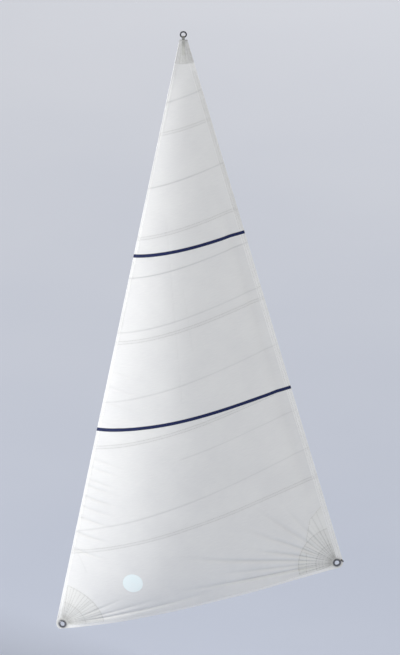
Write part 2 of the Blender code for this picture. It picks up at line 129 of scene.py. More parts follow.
CLEW_RING = crossing(inward(LEECH_SIDE, RING_TO_SIDE), inward(FOOT_SIDE, CLEW_RING_TO_FOOT))


def shares(plan):
    """Share of the chord and share of the height of plan points, from the triangle's two sides at the tack."""
    along_foot, up = np.moveaxis((plan - TACK) @ np.linalg.inv([CLEW - TACK, HEAD - TACK]), -1, 0)
    up = np.clip(up, 0.0, 0.995)
    return np.clip(along_foot / (1.0 - up), 0.0, 1.0), up


def section(across):
    """Depth across the chord, 1 at its deepest: a power of the distance from each end."""
    deepest = ENTRY / (ENTRY + EXIT)
    peak = deepest ** ENTRY * (1 - deepest) ** EXIT
    return across ** ENTRY * (1 - across) ** EXIT / peak


def belly(across, up):
    """Depth of the sail: the chord times its draft, which builds over the foot and fades to the head."""
    built = 1 - np.exp(-(up + FOOT_ROUNDNESS) / FOOT_RISE)
    return FOOT * (1 - up) * DRAFT * built * (1 - up ** HEAD_FLATTENING) * section(across)


# The part's origin lies on its first flat facet at the tack, so the edges stand this far behind it
ring_share = shares(TACK_RING)
EDGE_Y = belly(FIRST_FACET, 0.0) * ring_share[0] * (1 - ring_share[1]) / FIRST_FACET

# The hang of the cloth
# The resin in new sailcloth keeps the creases it was folded in. The luff rope draws short wrinkles in
# from the luff, and the load at each corner draws long ones out from its ring.
LOWEST_PANEL = 0.933
PANEL_PITCH = 0.905
PANEL_LAP = 0.030
SEAM_ANGLE = math.radians(93.1)
SEAM_ROWS = (0.003, PANEL_LAP - 0.003)
HEAD_PATCHES = (0.284, 0.176)
# Folds from luff to leech: share up each, where along it starts and ends, and its height in mm
FOLDS = (
    (0.8696, 0.8792, -0.1, 0.97, 3.6),
    (0.7279, 0.7444, -0.1, 0.99, 4.4),
    (0.5796, 0.5977, -0.1, 1.0, 5.0),
    (0.4892, 0.5160, -0.1, 1.0, 3.4),
    (0.3748, 0.4103, -0.1, 1.0, 2.6),
    (0.2490, 0.2903, 0.44, 1.0, 2.4),
    (0.1632, 0.2191, -0.1, 1.0, 2.6),
)
FOLD_WIDTH = 0.011
# Short folds that stand across them: plan points of both ends, and depth in mm
UPRIGHT_FOLDS = (((0.931, 3.98), (1.076, 2.23), 0.7), ((1.084, 3.324), (1.174, 2.737), 0.6),
                 ((0.13, 0.726), (0.22, 0.544), 1.2))
UPRIGHT_WIDTH = 0.008
CREASE_SHADE_WIDTH = 0.006
# Wrinkles from the luff: share up it, and depth in mm
LUFF_WRINKLES = ((0.135, 8.0), (0.162, 9.5), (0.187, 8.0), (0.205, 7.0), (0.222, 9.5), (0.240, 8.0),
                 (0.250, 6.0), (0.270, 7.0), (0.284, 4.4), (0.345, 3.6), (0.378, 3.0), (0.403, 3.6),
                 (0.428, 2.6))
LUFF_WRINKLE_WIDTH = 0.013
LUFF_WRINKLE_SLOPE = 0.10
# Wrinkles from a ring: angle in degrees, reach, and depth in mm
CLEW_WRINKLES = ((173.0, 1.50, 12.0), (187.0, 1.50, 15.0), (165.0, 0.90, 11.0), (153.5, 1.00, 10.0),
                 (140.5, 1.05, 8.0), (180.5, 1.20, 9.0), (129.0, 0.80, 6.0), (117.0, 0.62, 4.0),
                 (194.0, 0.70, 4.0))
TACK_WRINKLES = ((16.5, 1.60, 8.5), (21.5, 1.05, 5.0), (31.0, 0.70, 4.0), (45.0, 0.55, 2.5))
LONG_WAVE = 0.0030
SHORT_WAVE = 0.0012
ROLL = 0.009
ROLL_WIDTH = 0.050
ROLL_HEIGHTS = (0.10, 0.22, 0.62, 0.74)
FOOT_CURL = 0.018
FOOT_CURL_WIDTH = 0.085
STITCH_PULL = 0.0007
STITCH_SPREAD = 0.0048
STRAP_SEWN_DOWN = 0.105
SLOPE_STEP = 0.001
# How much greyer the cloth is at each of these, where 1 is the tone's whole strength. The stitch rows,
# wrinkle valleys, laps, folds, roll and cut edge are painted shade.
STITCH_SHADE = 0.17
VALLEY_SHADE = 24.0
LAP_SHADE = 0.10
FOLD_SHADE = 0.11
UPRIGHT_SHADE = 0.13
RING_TONE = 1.5
LEECH_TONE = 0.34
ROLL_SHADE = 0.10
CUT_SHADE = 0.8
HEAD_TONE = 0.30


def crease(distance, width):
    """A pressed fold seen from the side: the distance times an exponential that fades on both sides."""
    return distance / width * np.exp(-np.abs(distance) / width)


def bell(distance, width):
    """1 on a line, fading on both sides of it with the square of the distance."""
    return np.exp(-(distance / width) ** 2)


def seam_line(number):
    """Seam above the given panel: from the leech, turned inwards and down to the luff."""
    cosine, sine = math.cos(SEAM_ANGLE), math.sin(SEAM_ANGLE)
    normal = np.array([[sine, cosine], [-cosine, sine]]) @ LEECH_UP
    return CLEW + LEECH_UP * (LOWEST_PANEL + PANEL_PITCH * (number - 1)), normal


leech_length = np.linalg.norm(crossing(LEECH_SIDE, HEAD_SIDE) - CLEW)
panel_count = 1 + math.ceil((leech_length - LOWEST_PANEL) / PANEL_PITCH)


def below_seams(plan):
    """Distance below each seam, one row for each."""
    return [inside(seam_line(number), plan) for number in range(1, panel_count)]


def sewn(plan):
    """How near a plan point is to a row of seam stitches, from 0 to 1."""
    return sum(bell(below - row, STITCH_SPREAD) for below in below_seams(plan) for row in SEAM_ROWS)


def from_line(plan, start, end):
    """Share of the way from start to end, and distance to the left of it."""
    way = end - start
    return (plan - start) @ way / (way @ way), (start - plan) @ outward(start, end)


def folds(plan, ease_in, ease_out):
    """Distance beside each fold from luff to leech, and its height in mm, which fades at its ends."""
    for low, high, start, end, rise in FOLDS:
        along, beside = from_line(plan, TACK + (HEAD - TACK) * low, CLEW + (HEAD - CLEW) * high)
        yield beside, rise * window(along, start - ease_in, start + 0.03, end - ease_out, end + 0.02)


def upright_folds(plan):
    """The same for the folds that stand across them."""
    for start, end, rise in UPRIGHT_FOLDS:
        along, beside = from_line(plan, np.array(start), np.array(end))
        yield beside, rise * window(along, -0.05, 0.05, 0.95, 1.05)


def wrinkles(plan):
    """Height of the valleys that the load draws: rays from the low corners' rings, each a bell across that
    widens outwards and fades at both ends, and short ones from the luff that fade inwards."""
    height = 0.0
    for ring, rays in ((CLEW_RING, CLEW_WRINKLES), (TACK_RING, TACK_WRINKLES)):
        for angle, reach, rise in rays:
            turn = math.radians(angle)
            along, beside = from_line(plan, ring, ring + np.array([math.cos(turn), math.sin(turn)]))
            width = 0.010 + 0.006 * np.clip(along, 0.0, 2.0)
            fade = window(along, 0.08, 0.42, 0.45 * reach, 1.05 * reach)
            height = height - 0.001 * rise * fade * bell(beside, width)
    fade = window(inside(LUFF_SIDE, plan), -0.02, 0.04, 0.08, 0.36)
    for share, rise in LUFF_WRINKLES:
        beside = (plan - TACK - (HEAD - TACK) * share) @ (LUFF_WRINKLE_SLOPE, 1.0)
        height = height - 0.001 * rise * fade * bell(beside, LUFF_WRINKLE_WIDTH)
    return height


def head_mottle(plan):
    """The head patches' uneven grey: the product of two sines bent by two others, and more to the right."""
    x, z = plan[..., 0], plan[..., 1]
    speckle = 0.20 * np.sin(331.0 * x + 97.0 * z + 2.0 * np.sin(140.0 * z))
    speckle = speckle * np.sin(283.0 * z + 3.0 * np.sin(90.0 * x))
    return HEAD_TONE + speckle + HEAD_TONE * smooth(-0.02, 0.03, x - head_centre[0])


def tone(plan):
    """How much greyer the cloth is than clean single cloth. Most is painted shade: its laps and head patches,
    through which less light comes, and its stitch rows, creases, wrinkle valleys, the roll inside the leech
    and the cut edge under the head ring, where shade falls. It is also darker round the low rings and up the
    upper leech, and unevenly grey on the head patches."""
    up = shares(plan)[1]
    # Painted shade: the stitch rows and the valleys of the wrinkles are darkened for the shade in their grooves
    grey = STITCH_SHADE * sewn(plan) - VALLEY_SHADE * wrinkles(plan)
    # Painted shade: each lap is darkened for the light that its doubled cloth holds back
    for below in below_seams(plan):
        grey = grey + LAP_SHADE * window(below, -0.003, 0.003, PANEL_LAP - 0.003, PANEL_LAP + 0.003)
    # Painted shade: the folds, and the short folds across them, are darkened along their creases for the shade in
    # them
    for beside, rise in folds(plan, 0.02, 0.03):
        grey = grey + FOLD_SHADE * rise * bell(beside, CREASE_SHADE_WIDTH)
    for beside, rise in upright_folds(plan):
        grey = grey + UPRIGHT_SHADE * rise * bell(beside, CREASE_SHADE_WIDTH)
    for ring in (TACK_RING, CLEW_RING):
        grey = grey + RING_TONE * np.exp(-np.maximum(apart(plan, ring) - 0.036, 0.0) / 0.011)
    to_leech = inside(LEECH_SIDE, plan)
    grey = grey + LEECH_TONE * smooth(0.56, 0.66, up) * (1 - smooth(0.030, 0.055, to_leech))
    # Painted shade: the roll inside the leech is darkened along its valley
    grey = grey + ROLL_SHADE * window(up, *ROLL_HEIGHTS) * bell(to_leech - 0.125, 0.045)
    # Painted shade: the cloth just under the head's cut edge is darkened for the head ring's shadow
    grey = grey + CUT_SHADE * (1 - smooth(0.004, 0.016, inside(HEAD_SIDE, plan)))
    past_patch = apart(plan, head_centre) - HEAD_PATCHES[0]
    return grey + (1 - smooth(-0.003, 0.003, past_patch)) * head_mottle(plan)


def relief(plan):
    """Height of the creases and wrinkles over the smooth belly: the sum of the folds, the wrinkles, the
    roll inside the leech, the curl of the foot, the pull of the stitches and two long, slow waves."""
    x, up = plan[..., 0], shares(plan)[1]
    height = LONG_WAVE * np.sin(plan @ (2.9, 4.1)) * np.sin(plan @ (5.3, -1.7) + 1.0)
    height += SHORT_WAVE * np.sin(plan @ (9.7, 6.1) + 2.0) * np.sin(plan @ (3.1, -11.3))
    for beside, rise in folds(plan, 0.03, 0.05):
        height += 0.001 * rise * crease(beside, FOLD_WIDTH)
    for beside, rise in upright_folds(plan):
        height -= 0.001 * rise * bell(beside, UPRIGHT_WIDTH)
    height += wrinkles(plan)
    to_leech = inside(LEECH_SIDE, plan)
    height -= ROLL * window(up, *ROLL_HEIGHTS) * bell(to_leech - 0.135, ROLL_WIDTH)
    clear = smooth(0.15, 0.6, x - TACK_RING[0]) * smooth(0.15, 0.7, CLEW_RING[0] - x)
    height += FOOT_CURL * clear * bell(inside(FOOT_SIDE, plan), FOOT_CURL_WIDTH)
    pucker = 0.75 + 0.25 * np.sin(210.0 * x) * np.sin(150.0 * x + 1.3)
    height -= STITCH_PULL * sewn(plan) * pucker
    edge = smooth(0.0, 0.03, inside(LUFF_SIDE, plan)) * smooth(0.0, 0.03, to_leech)
    return height * (0.25 + 0.75 * edge) * (1 - smooth(0.93, 0.985, up))


def vertices(name):
    """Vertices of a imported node."""
    mesh = frame["nodes"][name].data
    points = np.empty(3 * len(mesh.vertices), np.float32)
    mesh.vertices.foreach_get("co", points)
    return points.reshape(-1, 3).astype(float)


def facing(name):
    """Normal of a flat round node on its near side: the way in which its vertices spread least."""
    points = vertices(name)
    normal = np.linalg.svd(points - points.mean(axis=0), full_matrices=False)[2][2]
    return normal if normal[1] < 0 else -normal


openings = {row["name"]: np.mean(row["box_m"], axis=0) for row in frame["record"]["physics"]["openings"]}
hinge = frame["joints"][0]
hinge_spot = np.array(hinge["pos_m"])
hinge_axis = unit(hinge["axis"])
head_ring_centre = vertices("head_ring").mean(axis=0)
head_centre = head_ring_centre[[0, 2]]
head_up = unit(head_ring_centre - hinge_spot)
head_normal = np.cross(hinge_axis, head_up)

# The cloth is pressed flat under each ring and under the head strap: where, which way, and how far round
FLATS = (
    (openings["tack_ring_hole"], facing("tack_ring_liner"), 0.050, 0.20),
    (openings["clew_ring_hole"], facing("clew_ring_liner"), 0.050, 0.20),
    (hinge_spot - head_up * STRAP_SEWN_DOWN, head_normal, 0.16, 0.40),
)


def surface_y(plan):
    """Y of the cloth: its edge line, less the belly and the relief, drawn to each flat by its distance."""
    y = EDGE_Y - belly(*shares(plan)) - relief(plan)
    for spot, normal, firm, soft in FLATS:
        plane = spot[1] - (plan - spot[[0, 2]]) @ normal[[0, 2]] / normal[1]
        y = y + (1 - smooth(firm, soft, apart(plan, spot[[0, 2]]))) * (plane - y)
    return y


def laid(plan, height):
    """Plan points laid on the cloth and raised along its normal, which is square to its two slopes."""
    y = surface_y(plan)
    slope_x, slope_z = ((surface_y(plan + ahead) - y) / SLOPE_STEP for ahead in SLOPE_STEP * np.eye(2))
    normal = unit(np.stack([slope_x, -np.ones_like(y), slope_z], axis=-1))
    return np.stack([plan[..., 0], y, plan[..., 1]], axis=-1) + normal * np.asarray(height)[..., None]


# Panels
# Six cloths of plain-woven, resin-filled polyester, each one roll width deep, run from the leech to the
# luff. Each laps the one below, and the lap is sewn with two rows of zigzag.
CLOTH = 0.00035
LAYER = 0.00065
CLOTH_INSET = 0.008
RING_CUT = 0.030
GRID_ALONG = 0.015
GRID_UP = 0.0042
FOOT_CROWDING = 0.65
TONE_SHARE = 0.42
# The yarns are really 0.3 mm apart and are drawn four times as coarse, so that they show
YARN = 0.0012


def srgb(code):
    """A hex colour as linear red, green, blue and alpha."""
    parts = [int(code[i:i + 2], 16) / 255 for i in (1, 3, 5)]
    return (*(c / 12.92 if c <= 0.04045 else ((c + 0.055) / 1.055) ** 2.4 for c in parts), 1.0)


class Paint:
    """A material in the making. Each of its steps adds nodes and gives the output of the last."""

    def __init__(self, name):
        self.material = bpy.data.materials.new(name)
        self.material.use_nodes = True
        self.tree = self.material.node_tree
        self.tree.nodes.clear()
        self.shader = self.add("BsdfPrincipled")
        self.add("OutputMaterial", {"Surface": self.shader.outputs[0]})

    def add(self, kind, inputs=(), **settings):
        """A new node with its properties and inputs set."""
        node = self.tree.nodes.new("ShaderNode" + kind)
        for name, value in settings.items():
            setattr(node, name, value)
        return self.fill(node, dict(inputs))

    def fill(self, node, inputs):
        """A node with each input given a value or linked to an output."""
        for name, value in inputs.items():
            if isinstance(value, bpy.types.NodeSocket):
                self.tree.links.new(value, node.inputs[name])
            else:
                node.inputs[name].default_value = value
        return node

    def uv(self):
        """The cloth's own coordinates, in metres."""
        return self.add("UVMap", uv_map="cloth").outputs[0]

    def place(self):
        """The place on the piece, in metres."""
        return self.add("TexCoord").outputs["Object"]

    def tone(self):
        """The mesh's tone attribute: painted shade and other darkening."""
        return self.add("Attribute", attribute_name="tone").outputs["Fac"]

    def scaled(self, place, along, across):
        """Coordinates times a scale for each of the two ways, as their two parts and as a vector."""
        vector = self.add("Mapping", {"Vector": place, "Scale": (along, across, 1.0)}).outputs[0]
        return self.add("SeparateXYZ", {0: vector}).outputs[:2], vector

    def maths(self, operation, *values):
        return self.add("Math", dict(enumerate(values)), operation=operation).outputs[0]

    def ramp(self, *values):
        """The first value carried from between the next two to between the last two, or 0 and 1."""
        return self.add("MapRange", dict(enumerate(values))).outputs[0]

    def noise(self, place, scale, detail, **more):
        return self.add("TexNoise", {"Vector": place, "Scale": scale, "Detail": detail, **more}).outputs[0]

    def weave(self, uv, along, across):
        """Crossing yarns: the product of two sines of the given wavelengths."""
        turns = self.scaled(uv, 2 * math.pi / along, 2 * math.pi / across)[0]
        return self.maths("MULTIPLY", *[self.maths("SINE", turn) for turn in turns])

    def blend(self, share, *colours):
        """A colour between two, each a hex code or an output."""
        ends = [srgb(colour) if isinstance(colour, str) else colour for colour in colours]
        return self.add("Mix", {"Factor": share, 6: ends[0], 7: ends[1]}, data_type="RGBA").outputs[2]

    def bump(self, height, strength, depth, **more):
        return self.add("Bump", {"Height": height, "Strength": strength, "Distance": depth, **more}).outputs[0]

    def finish(self, colour, roughness, specular=0.5, **more):
        """The material, with its shader's inputs filled."""
        self.fill(self.shader, {"Base Color": colour, "Roughness": roughness, "Specular IOR Level": specular,
                                **more})
        return self.material


def woven_cloth(name, light, dark, crinkle=0.22):
    """Plain-woven polyester, filled with resin and calendered: matt, with a dry crackle, and darkened by the
    mesh's tone attribute, which is mostly painted shade."""
    paint = Paint(name)
    uv = paint.uv()
    slub = paint.noise(paint.scaled(uv, 14.0, 160.0)[1], 1.0, 3.0)
    cloud = paint.noise(uv, 3.5, 4.0)
    clean = paint.blend(paint.ramp(paint.maths("ADD", slub, cloud), 0.75, 1.25), dark, light)
    # The tone greys the cloth: mostly painted shade in its grooves, laps and patches and under the head ring, and
    # a darkening round the rings and up the leech
    colour = paint.blend(paint.maths("MULTIPLY", paint.tone(), TONE_SHARE), clean, "#6F6E69")
    crackle = paint.noise(uv, 42.0, 5.0, Roughness=0.6)
    yarns = paint.bump(paint.weave(uv, YARN, YARN), 0.12, 0.0004)
    normal = paint.bump(crackle, crinkle, 0.003, Normal=yarns)
    return paint.finish(colour, paint.ramp(crackle, 0.3, 0.7, 0.54, 0.70), 0.35, Normal=normal)


def tube_quads(rows, columns, closed_rows=False):
    """Quads of a grid whose columns run round, and whose rows may run round too."""
    index = np.arange(rows * columns).reshape(rows, columns)
    here, ahead = (index, np.roll(index, -1, axis=0)) if closed_rows else (index[:-1], index[1:])
    quads = np.stack([here, ahead, np.roll(ahead, -1, axis=1), np.roll(here, -1, axis=1)], axis=-1)
    return quads.reshape(-1, 4)


def closed_sheet(near, far):
    """Points and quads of a sheet between two grids: both faces and all four rims."""
    columns = near.shape[1]
    points = np.concatenate([near, far[:, ::-1]], axis=1).reshape(-1, 3)
    index = np.arange(len(points)).reshape(-1, 2 * columns)
    step = np.arange(columns - 1)
    across = 2 * columns - 1 - step
    ends = [np.stack([end[step], end[step + 1], end[across - 1], end[across]], axis=-1)
            for end in (index[0], index[-1])]
    return points, np.concatenate([tube_quads(len(index), 2 * columns), ends[0], ends[1][:, ::-1]])


def without_rings(points, quads, columns):
    """A sheet's quads less those under the rings, with a rim from face to face round each hole.

    In a row of a closed sheet's points, a place and its mirror from the other end are the two faces."""
    middles = points[quads].mean(axis=1)
    gone = [np.linalg.norm(middles - openings[name], axis=1) < RING_CUT
            for name in ("tack_ring_hole", "clew_ring_hole")]
    kept = quads[~np.any(gone, axis=0)]
    edges = np.stack([kept, np.roll(kept, -1, axis=1)], axis=-1).reshape(-1, 2)
    code = np.sort(edges, axis=1) @ [len(points), 1]
    _, first, count = np.unique(code, return_index=True, return_counts=True)
    rim = edges[first[count == 1]]
    rim = rim[np.all(rim % (2 * columns) < columns, axis=1)]
    across = rim + 2 * columns - 1 - 2 * (rim % (2 * columns))
    return np.concatenate([kept, np.stack([rim[:, 1], rim[:, 0], across[:, 0], across[:, 1]], axis=-1)])


def make_piece(name, points, faces, material, uv=None, sharp=35.0, tones=None):
    """An object from points and faces of one size, with its cloth's own UV map and its tone at each point.
    The faces are turned outwards, so that the sum of their fans of tetrahedra to the origin isn't negative."""
    points = points.reshape(-1, 3)
    if sum(np.linalg.det(points[faces[:, [0, i, i + 1]]]).sum() for i in range(1, faces.shape[1] - 1)) < 0:
        faces = faces[:, ::-1]
    mesh = bpy.data.meshes.new(name)
    mesh.vertices.add(len(points))
    mesh.vertices.foreach_set("co", points.astype(np.float32).ravel())
    mesh.loops.add(faces.size)
    mesh.loops.foreach_set("vertex_index", faces.astype(np.int32).ravel())
    mesh.polygons.add(len(faces))
    mesh.polygons.foreach_set("loop_start", np.arange(0, faces.size, faces.shape[1], dtype=np.int32))
    mesh.update(calc_edges=True)
    if uv is not None:
        layer = mesh.uv_layers.new(name="cloth")
        layer.data.foreach_set("uv", uv.reshape(-1, 2)[faces.ravel()].astype(np.float32).ravel())
    if tones is not None:
        attribute = mesh.attributes.new("tone", "FLOAT", "POINT")
        attribute.data.foreach_set("value", np.asarray(tones, np.float32).ravel())
    mesh.shade_smooth()
    mesh.set_sharp_from_angle(angle=math.radians(sharp))
    mesh.materials.append(material)
    piece = bpy.data.objects.new(name, mesh)
    bpy.context.scene.collection.objects.link(piece)
    return piece


def join_body(piece, slot, *nodes, body="sail"):
    """Puts a piece on its body, in place of its plain nodes. Its slot is not used."""
    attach(piece, body)
    if nodes:
        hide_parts(*nodes)
    return piece


def both_faces(values):
    """Values of a sheet's plan grid for its two faces, in the order of closed_sheet."""
    return np.concatenate([values, values[:, ::-1]], axis=1)


def sheet_uv(plan, angle):
    """Cloth's own coordinates in metres, both faces: the plan turned so that the weft lies along its seam."""
    cosine, sine = math.cos(angle), math.sin(angle)
    return both_faces(plan @ [[cosine, -sine], [sine, cosine]])


def between_lines(low, high, left, right, step_along, step_up, crowd=0.0):
    """A plan that fills the shape between four lines, in steps from left to right and upwards. The steps
    along are even, or crowded towards both ends by a share of their size."""
    ends = [[crossing(row, side) for side in (left, right)] for row in (low, high)]
    s, t = (np.linspace(0, 1, max(3, round(max(np.linalg.norm(b - a) for a, b in pairs) / step) + 1))
            for pairs, step in ((ends, step_along), (zip(*ends), step_up)))
    s = (s - crowd * np.sin(2 * math.pi * s) / (2 * math.pi))[:, None, None]
    low_row, high_row = (a * (1 - s) + b * s for a, b in ends)
    return low_row * (1 - t[:, None]) + high_row * t[:, None]


def rounded_corners(plan, inset):
    """Draws the tips of both low corners in towards a circle round the ring, where they lie between the
    normals of the corner's two edges."""
    radius = RING_TO_SIDE - inset
    for ring, normals in ((TACK_RING, (LUFF_OUT, FOOT_OUT)), (CLEW_RING, (FOOT_OUT, LEECH_OUT))):
        in_tip = np.all((plan - ring) @ np.linalg.inv(normals) > 0, axis=-1)
        reach = apart(plan, ring)
        drawn_to = (radius + 0.05 * (reach - radius)) / np.maximum(reach, 1e-9)
        plan = ring + (plan - ring) * np.where(in_tip & (reach > radius), drawn_to, 1.0)[..., None]
    return plan


def plan_area(plan):
    """Area inside a plan's rim, by the cross product of each of its points and the next."""
    rim = np.concatenate([plan[:, 0], plan[-1], plan[::-1, -1], plan[0, ::-1]])
    return abs(np.linalg.det(np.stack([rim, np.roll(rim, -1, axis=0)], axis=1)).sum()) / 2


def cloth_piece(name, plan, low, material, slot, held, angle=foot_slope, thick=CLOTH, grey=0.0):
    """A cloth cut to a plan and laid with its back face at the given height."""
    points, quads = closed_sheet(laid(plan, low + thick), laid(plan, low))
    if held == "stretched":
        quads = without_rings(points, quads, plan.shape[1])
    uv = sheet_uv(plan, angle)
    piece = make_piece(name, points, quads, material, uv, tones=both_faces(tone(plan) + grey))
    join_body(piece, slot, name)
    along, up = float(np.ptp(uv[..., 0])), float(np.ptp(uv[..., 1]))
    area = float(np.clip(plan_area(plan), 0.301 * along * up, along * up))


SAILCLOTH = woven_cloth("sailcloth_polyester", "#EBEBE9", "#E5E5E4")
seam_slope = math.atan2(LEECH_UP[1], LEECH_UP[0]) + SEAM_ANGLE - math.pi
for number in range(1, panel_count + 1):
    lowest = number == 1
    low = inward(FOOT_SIDE, 0.001) if lowest else inward(seam_line(number - 1), PANEL_LAP)
    high = seam_line(number) if number < panel_count else HEAD_SIDE
    plan = between_lines(low, high, inward(LUFF_SIDE, CLOTH_INSET), inward(LEECH_SIDE, CLOTH_INSET),
                         GRID_ALONG, GRID_UP, FOOT_CROWDING if lowest else 0.0)
    if lowest:
        plan = rounded_corners(plan, CLOTH_INSET)
    cloth_piece("panel_%d" % number, plan, 0.0 if number % 2 else -LAYER, SAILCLOTH, "sailcloth", "stretched",
                seam_slope)

# Sewing thread
# Bonded polyester thread, ageing to a warm grey, in zigzag stitches that pull down into the cloth. The
# thread is really 0.5 mm and is drawn 1 mm thick, so that a row shows as the line it makes on the sail.
THREAD = 0.0010
STITCH = 0.0048
SWING = 0.0050


def run_along(path):
    """Distance of each point of a path from its start."""
    return np.concatenate([[0.0], np.cumsum(np.linalg.norm(np.diff(path, axis=0), axis=1))])


def even_path(path, step):
    """The same path with points a step apart along it."""
    run = run_along(path)
    places = np.linspace(0, run[-1], max(2, round(run[-1] / step) + 1))
    return np.stack([np.interp(places, run, path[:, i]) for i in range(2)], axis=-1)


def left_of(path):
    """Unit vectors to the left of a flat path at each of its points."""
    way = unit(np.gradient(path, axis=0))
    return np.stack([-way[:, 1], way[:, 0]], axis=-1)


def zigzag(path, swing=SWING, step=STITCH):
    """Corners of a zigzag: the path's even points thrown to its two sides in turn."""
    points = even_path(np.asarray(path, float), step)
    return points + left_of(points) * swing / 2 * (1 - 2 * (np.arange(len(points)) % 2))[:, None]


def slivers(corners, height, up, thread):
    """A thin eight-faced sliver for each stitch: its ends pinch in at the needle holes, and its middle is
    raised, up or down."""
    middle = (corners[1:] + corners[:-1]) / 2
    sunk, base, top = (laid(plan, height + up * raised) for plan, raised in
                       ((corners, 0.0002), (middle, 0.0), (middle, thread * 0.6)))
    start, end = sunk[:-1], sunk[1:]
    side = unit(np.cross(end - start, top - base)) * thread / 2
    points = np.stack([start, end, top, base + side, base - (top - base) * 0.3, base - side], axis=1)
    faces = [(0, 3, 2), (0, 4, 3), (0, 5, 4), (0, 2, 5), (1, 2, 3), (1, 3, 4), (1, 4, 5), (1, 5, 2)]
    index = np.array(faces)[None] + 6 * np.arange(len(points))[:, None, None]
    return points.reshape(-1, 3), index.reshape(-1, 3)


def sew(name, rows, thread=THREAD):
    """One piece of all the given rows: each is a zigzag's corners, and its heights in front and behind."""
    points, faces, count = [], [], 0
    for corners, near, far in rows:
        for height, up in ((near, 1), (far, -1)):
            if height is not None:
                part, index = slivers(corners, height, up, thread)
                points.append(part)
                faces.append(index + count)
                count += len(part)
    join_body(make_piece(name, np.concatenate(points), np.concatenate(faces), THREAD_MATERIAL), "cordage")


# Twisted polyester: satin, with a fine slanting ply that only a close view shows
paint = Paint("sewing_thread")
place = paint.place()
ply = paint.add("TexWave", {"Vector": place, "Scale": 900.0}, bands_direction="DIAGONAL").outputs[1]
THREAD_MATERIAL = paint.finish(paint.blend(paint.noise(place, 9.0, 4.0), "#8E8B84", "#B3B0A8"), 0.5,
                               Normal=paint.bump(ply, 0.3, 0.0002))
for number in range(1, panel_count):
    lines = [inward(seam_line(number), row) for row in SEAM_ROWS]
    sew("seam_stitching_%d" % number,
        [(zigzag([crossing(line, inward(LUFF_SIDE, 0.030)), crossing(line, inward(LEECH_SIDE, 0.052))]),
          CLOTH, -LAYER) for line in lines])

# Edge tapes
# Each edge is bound with a strip of the same cloth, folded over it and sewn along its inner side. The
# luff tape holds a 6 mm rope and the leech tape a 2.5 mm line, which swell the folds.
LUFF_TAPE = 0.028
LEECH_TAPE = 0.050
FOOT_TAPE = 0.030
GAP = 0.0003
ROPE_RADIUS = 0.0030
LINE_RADIUS = 0.00125
TAPE_MIDDLE = -0.00015
LEG_SPREAD = 0.000975
TAPE_NEAR = LAYER + CLOTH
TAPE_FAR = -2 * LAYER
TAPE_STEP = 0.010
ROPE_SHORT_OF_CORNER = 0.13
ROPE_SHORT_OF_HEAD = 0.20
CORD_STEP = 0.012


def along_edge(corner, way, out, inset, line):
    """Distance up an edge at which a place this far inside it meets a line."""
    spot, normal = line
    return ((spot - corner) @ normal + inset * (out @ normal)) / (way @ normal)


def fold_section(width, cord, cord_there):
    """Path of a folded tape in section, as insets from the edge and heights: up its back leg, round the
    fold, which is a circle as wide as the cord where there is one, and down its near leg."""
    swell = cord + GAP + CLOTH / 2 - LEG_SPREAD if cord else 0.0
    radius = LEG_SPREAD + swell * cord_there
    sweep = np.radians(90 + (40 if cord else 0) * cord_there)
    turn = np.linspace(-1, 1, 15)[None] * sweep[:, None]
    centre = (radius + CLOTH / 2)[:, None]
    arc_in = centre - radius[:, None] * np.cos(turn)
    arc_up = radius[:, None] * np.sin(turn)
    neck = centre + radius[:, None] * (1.0 + 0.9 * cord_there[:, None])
    leg = neck + (width[:, None] - neck) * np.linspace(0, 1, 7)[None]
    flat = np.full_like(leg, LEG_SPREAD)
    inset = np.concatenate([leg[:, ::-1], arc_in, leg], axis=1)
    return inset, np.concatenate([-flat, arc_up, flat], axis=1) + TAPE_MIDDLE


def offset_path(inset, height, distance):
    """A section's path moved square to itself."""
    d_in, d_up = np.gradient(inset, axis=1), np.gradient(height, axis=1)
    length = np.maximum(np.hypot(d_in, d_up), 1e-9)
    return inset + distance * d_up / length, height - distance * d_in / length


def edge_tape(name, side, way, width, cord, low, high, trim=None):
    """A tape swept up an edge between two lines: its section's path with the cloth's thickness, laid on
    the sail. The fold is swollen only where the cord runs, and the tape narrows where a line trims it."""
    corner, out = side
    length = along_edge(corner, way, out, 0.0, high)
    run = np.linspace(0, 1, round(length / TAPE_STEP)) * length
    cord_there = window(run, ROPE_SHORT_OF_CORNER - 0.02, ROPE_SHORT_OF_CORNER, length - 0.036, length - 0.016)
    room = np.full(run.shape, width)
    if trim is not None:
        spot, normal = trim
        room = np.clip(((corner + way * run[:, None] - spot) @ normal) / (out @ normal), 0.012, width)
    sections = fold_section(room, cord, cord_there)
    faces = []
    for shift in (-CLOTH / 2, CLOTH / 2):
        inset, height = offset_path(*sections, shift)
        start, end = (along_edge(corner, way, out, inset, line) for line in (low, high))
        place = start + (end - start) * (run / length)[:, None]
        plan = rounded_corners(corner + way * place[..., None] - out * inset[..., None], 0.0)
        faces.append(laid(plan, height))
    points, quads = closed_sheet(*faces)
    columns = plan.shape[1]
    uv = np.stack(np.broadcast_arrays(run[:, None], np.linspace(0, 2 * width, columns)[None]), axis=-1)
    piece = make_piece(name, points, without_rings(points, quads, columns), TAPE_CLOTH, both_faces(uv),
                       sharp=50.0, tones=both_faces(tone(plan)))
    join_body(piece, "tape_cloth", name)


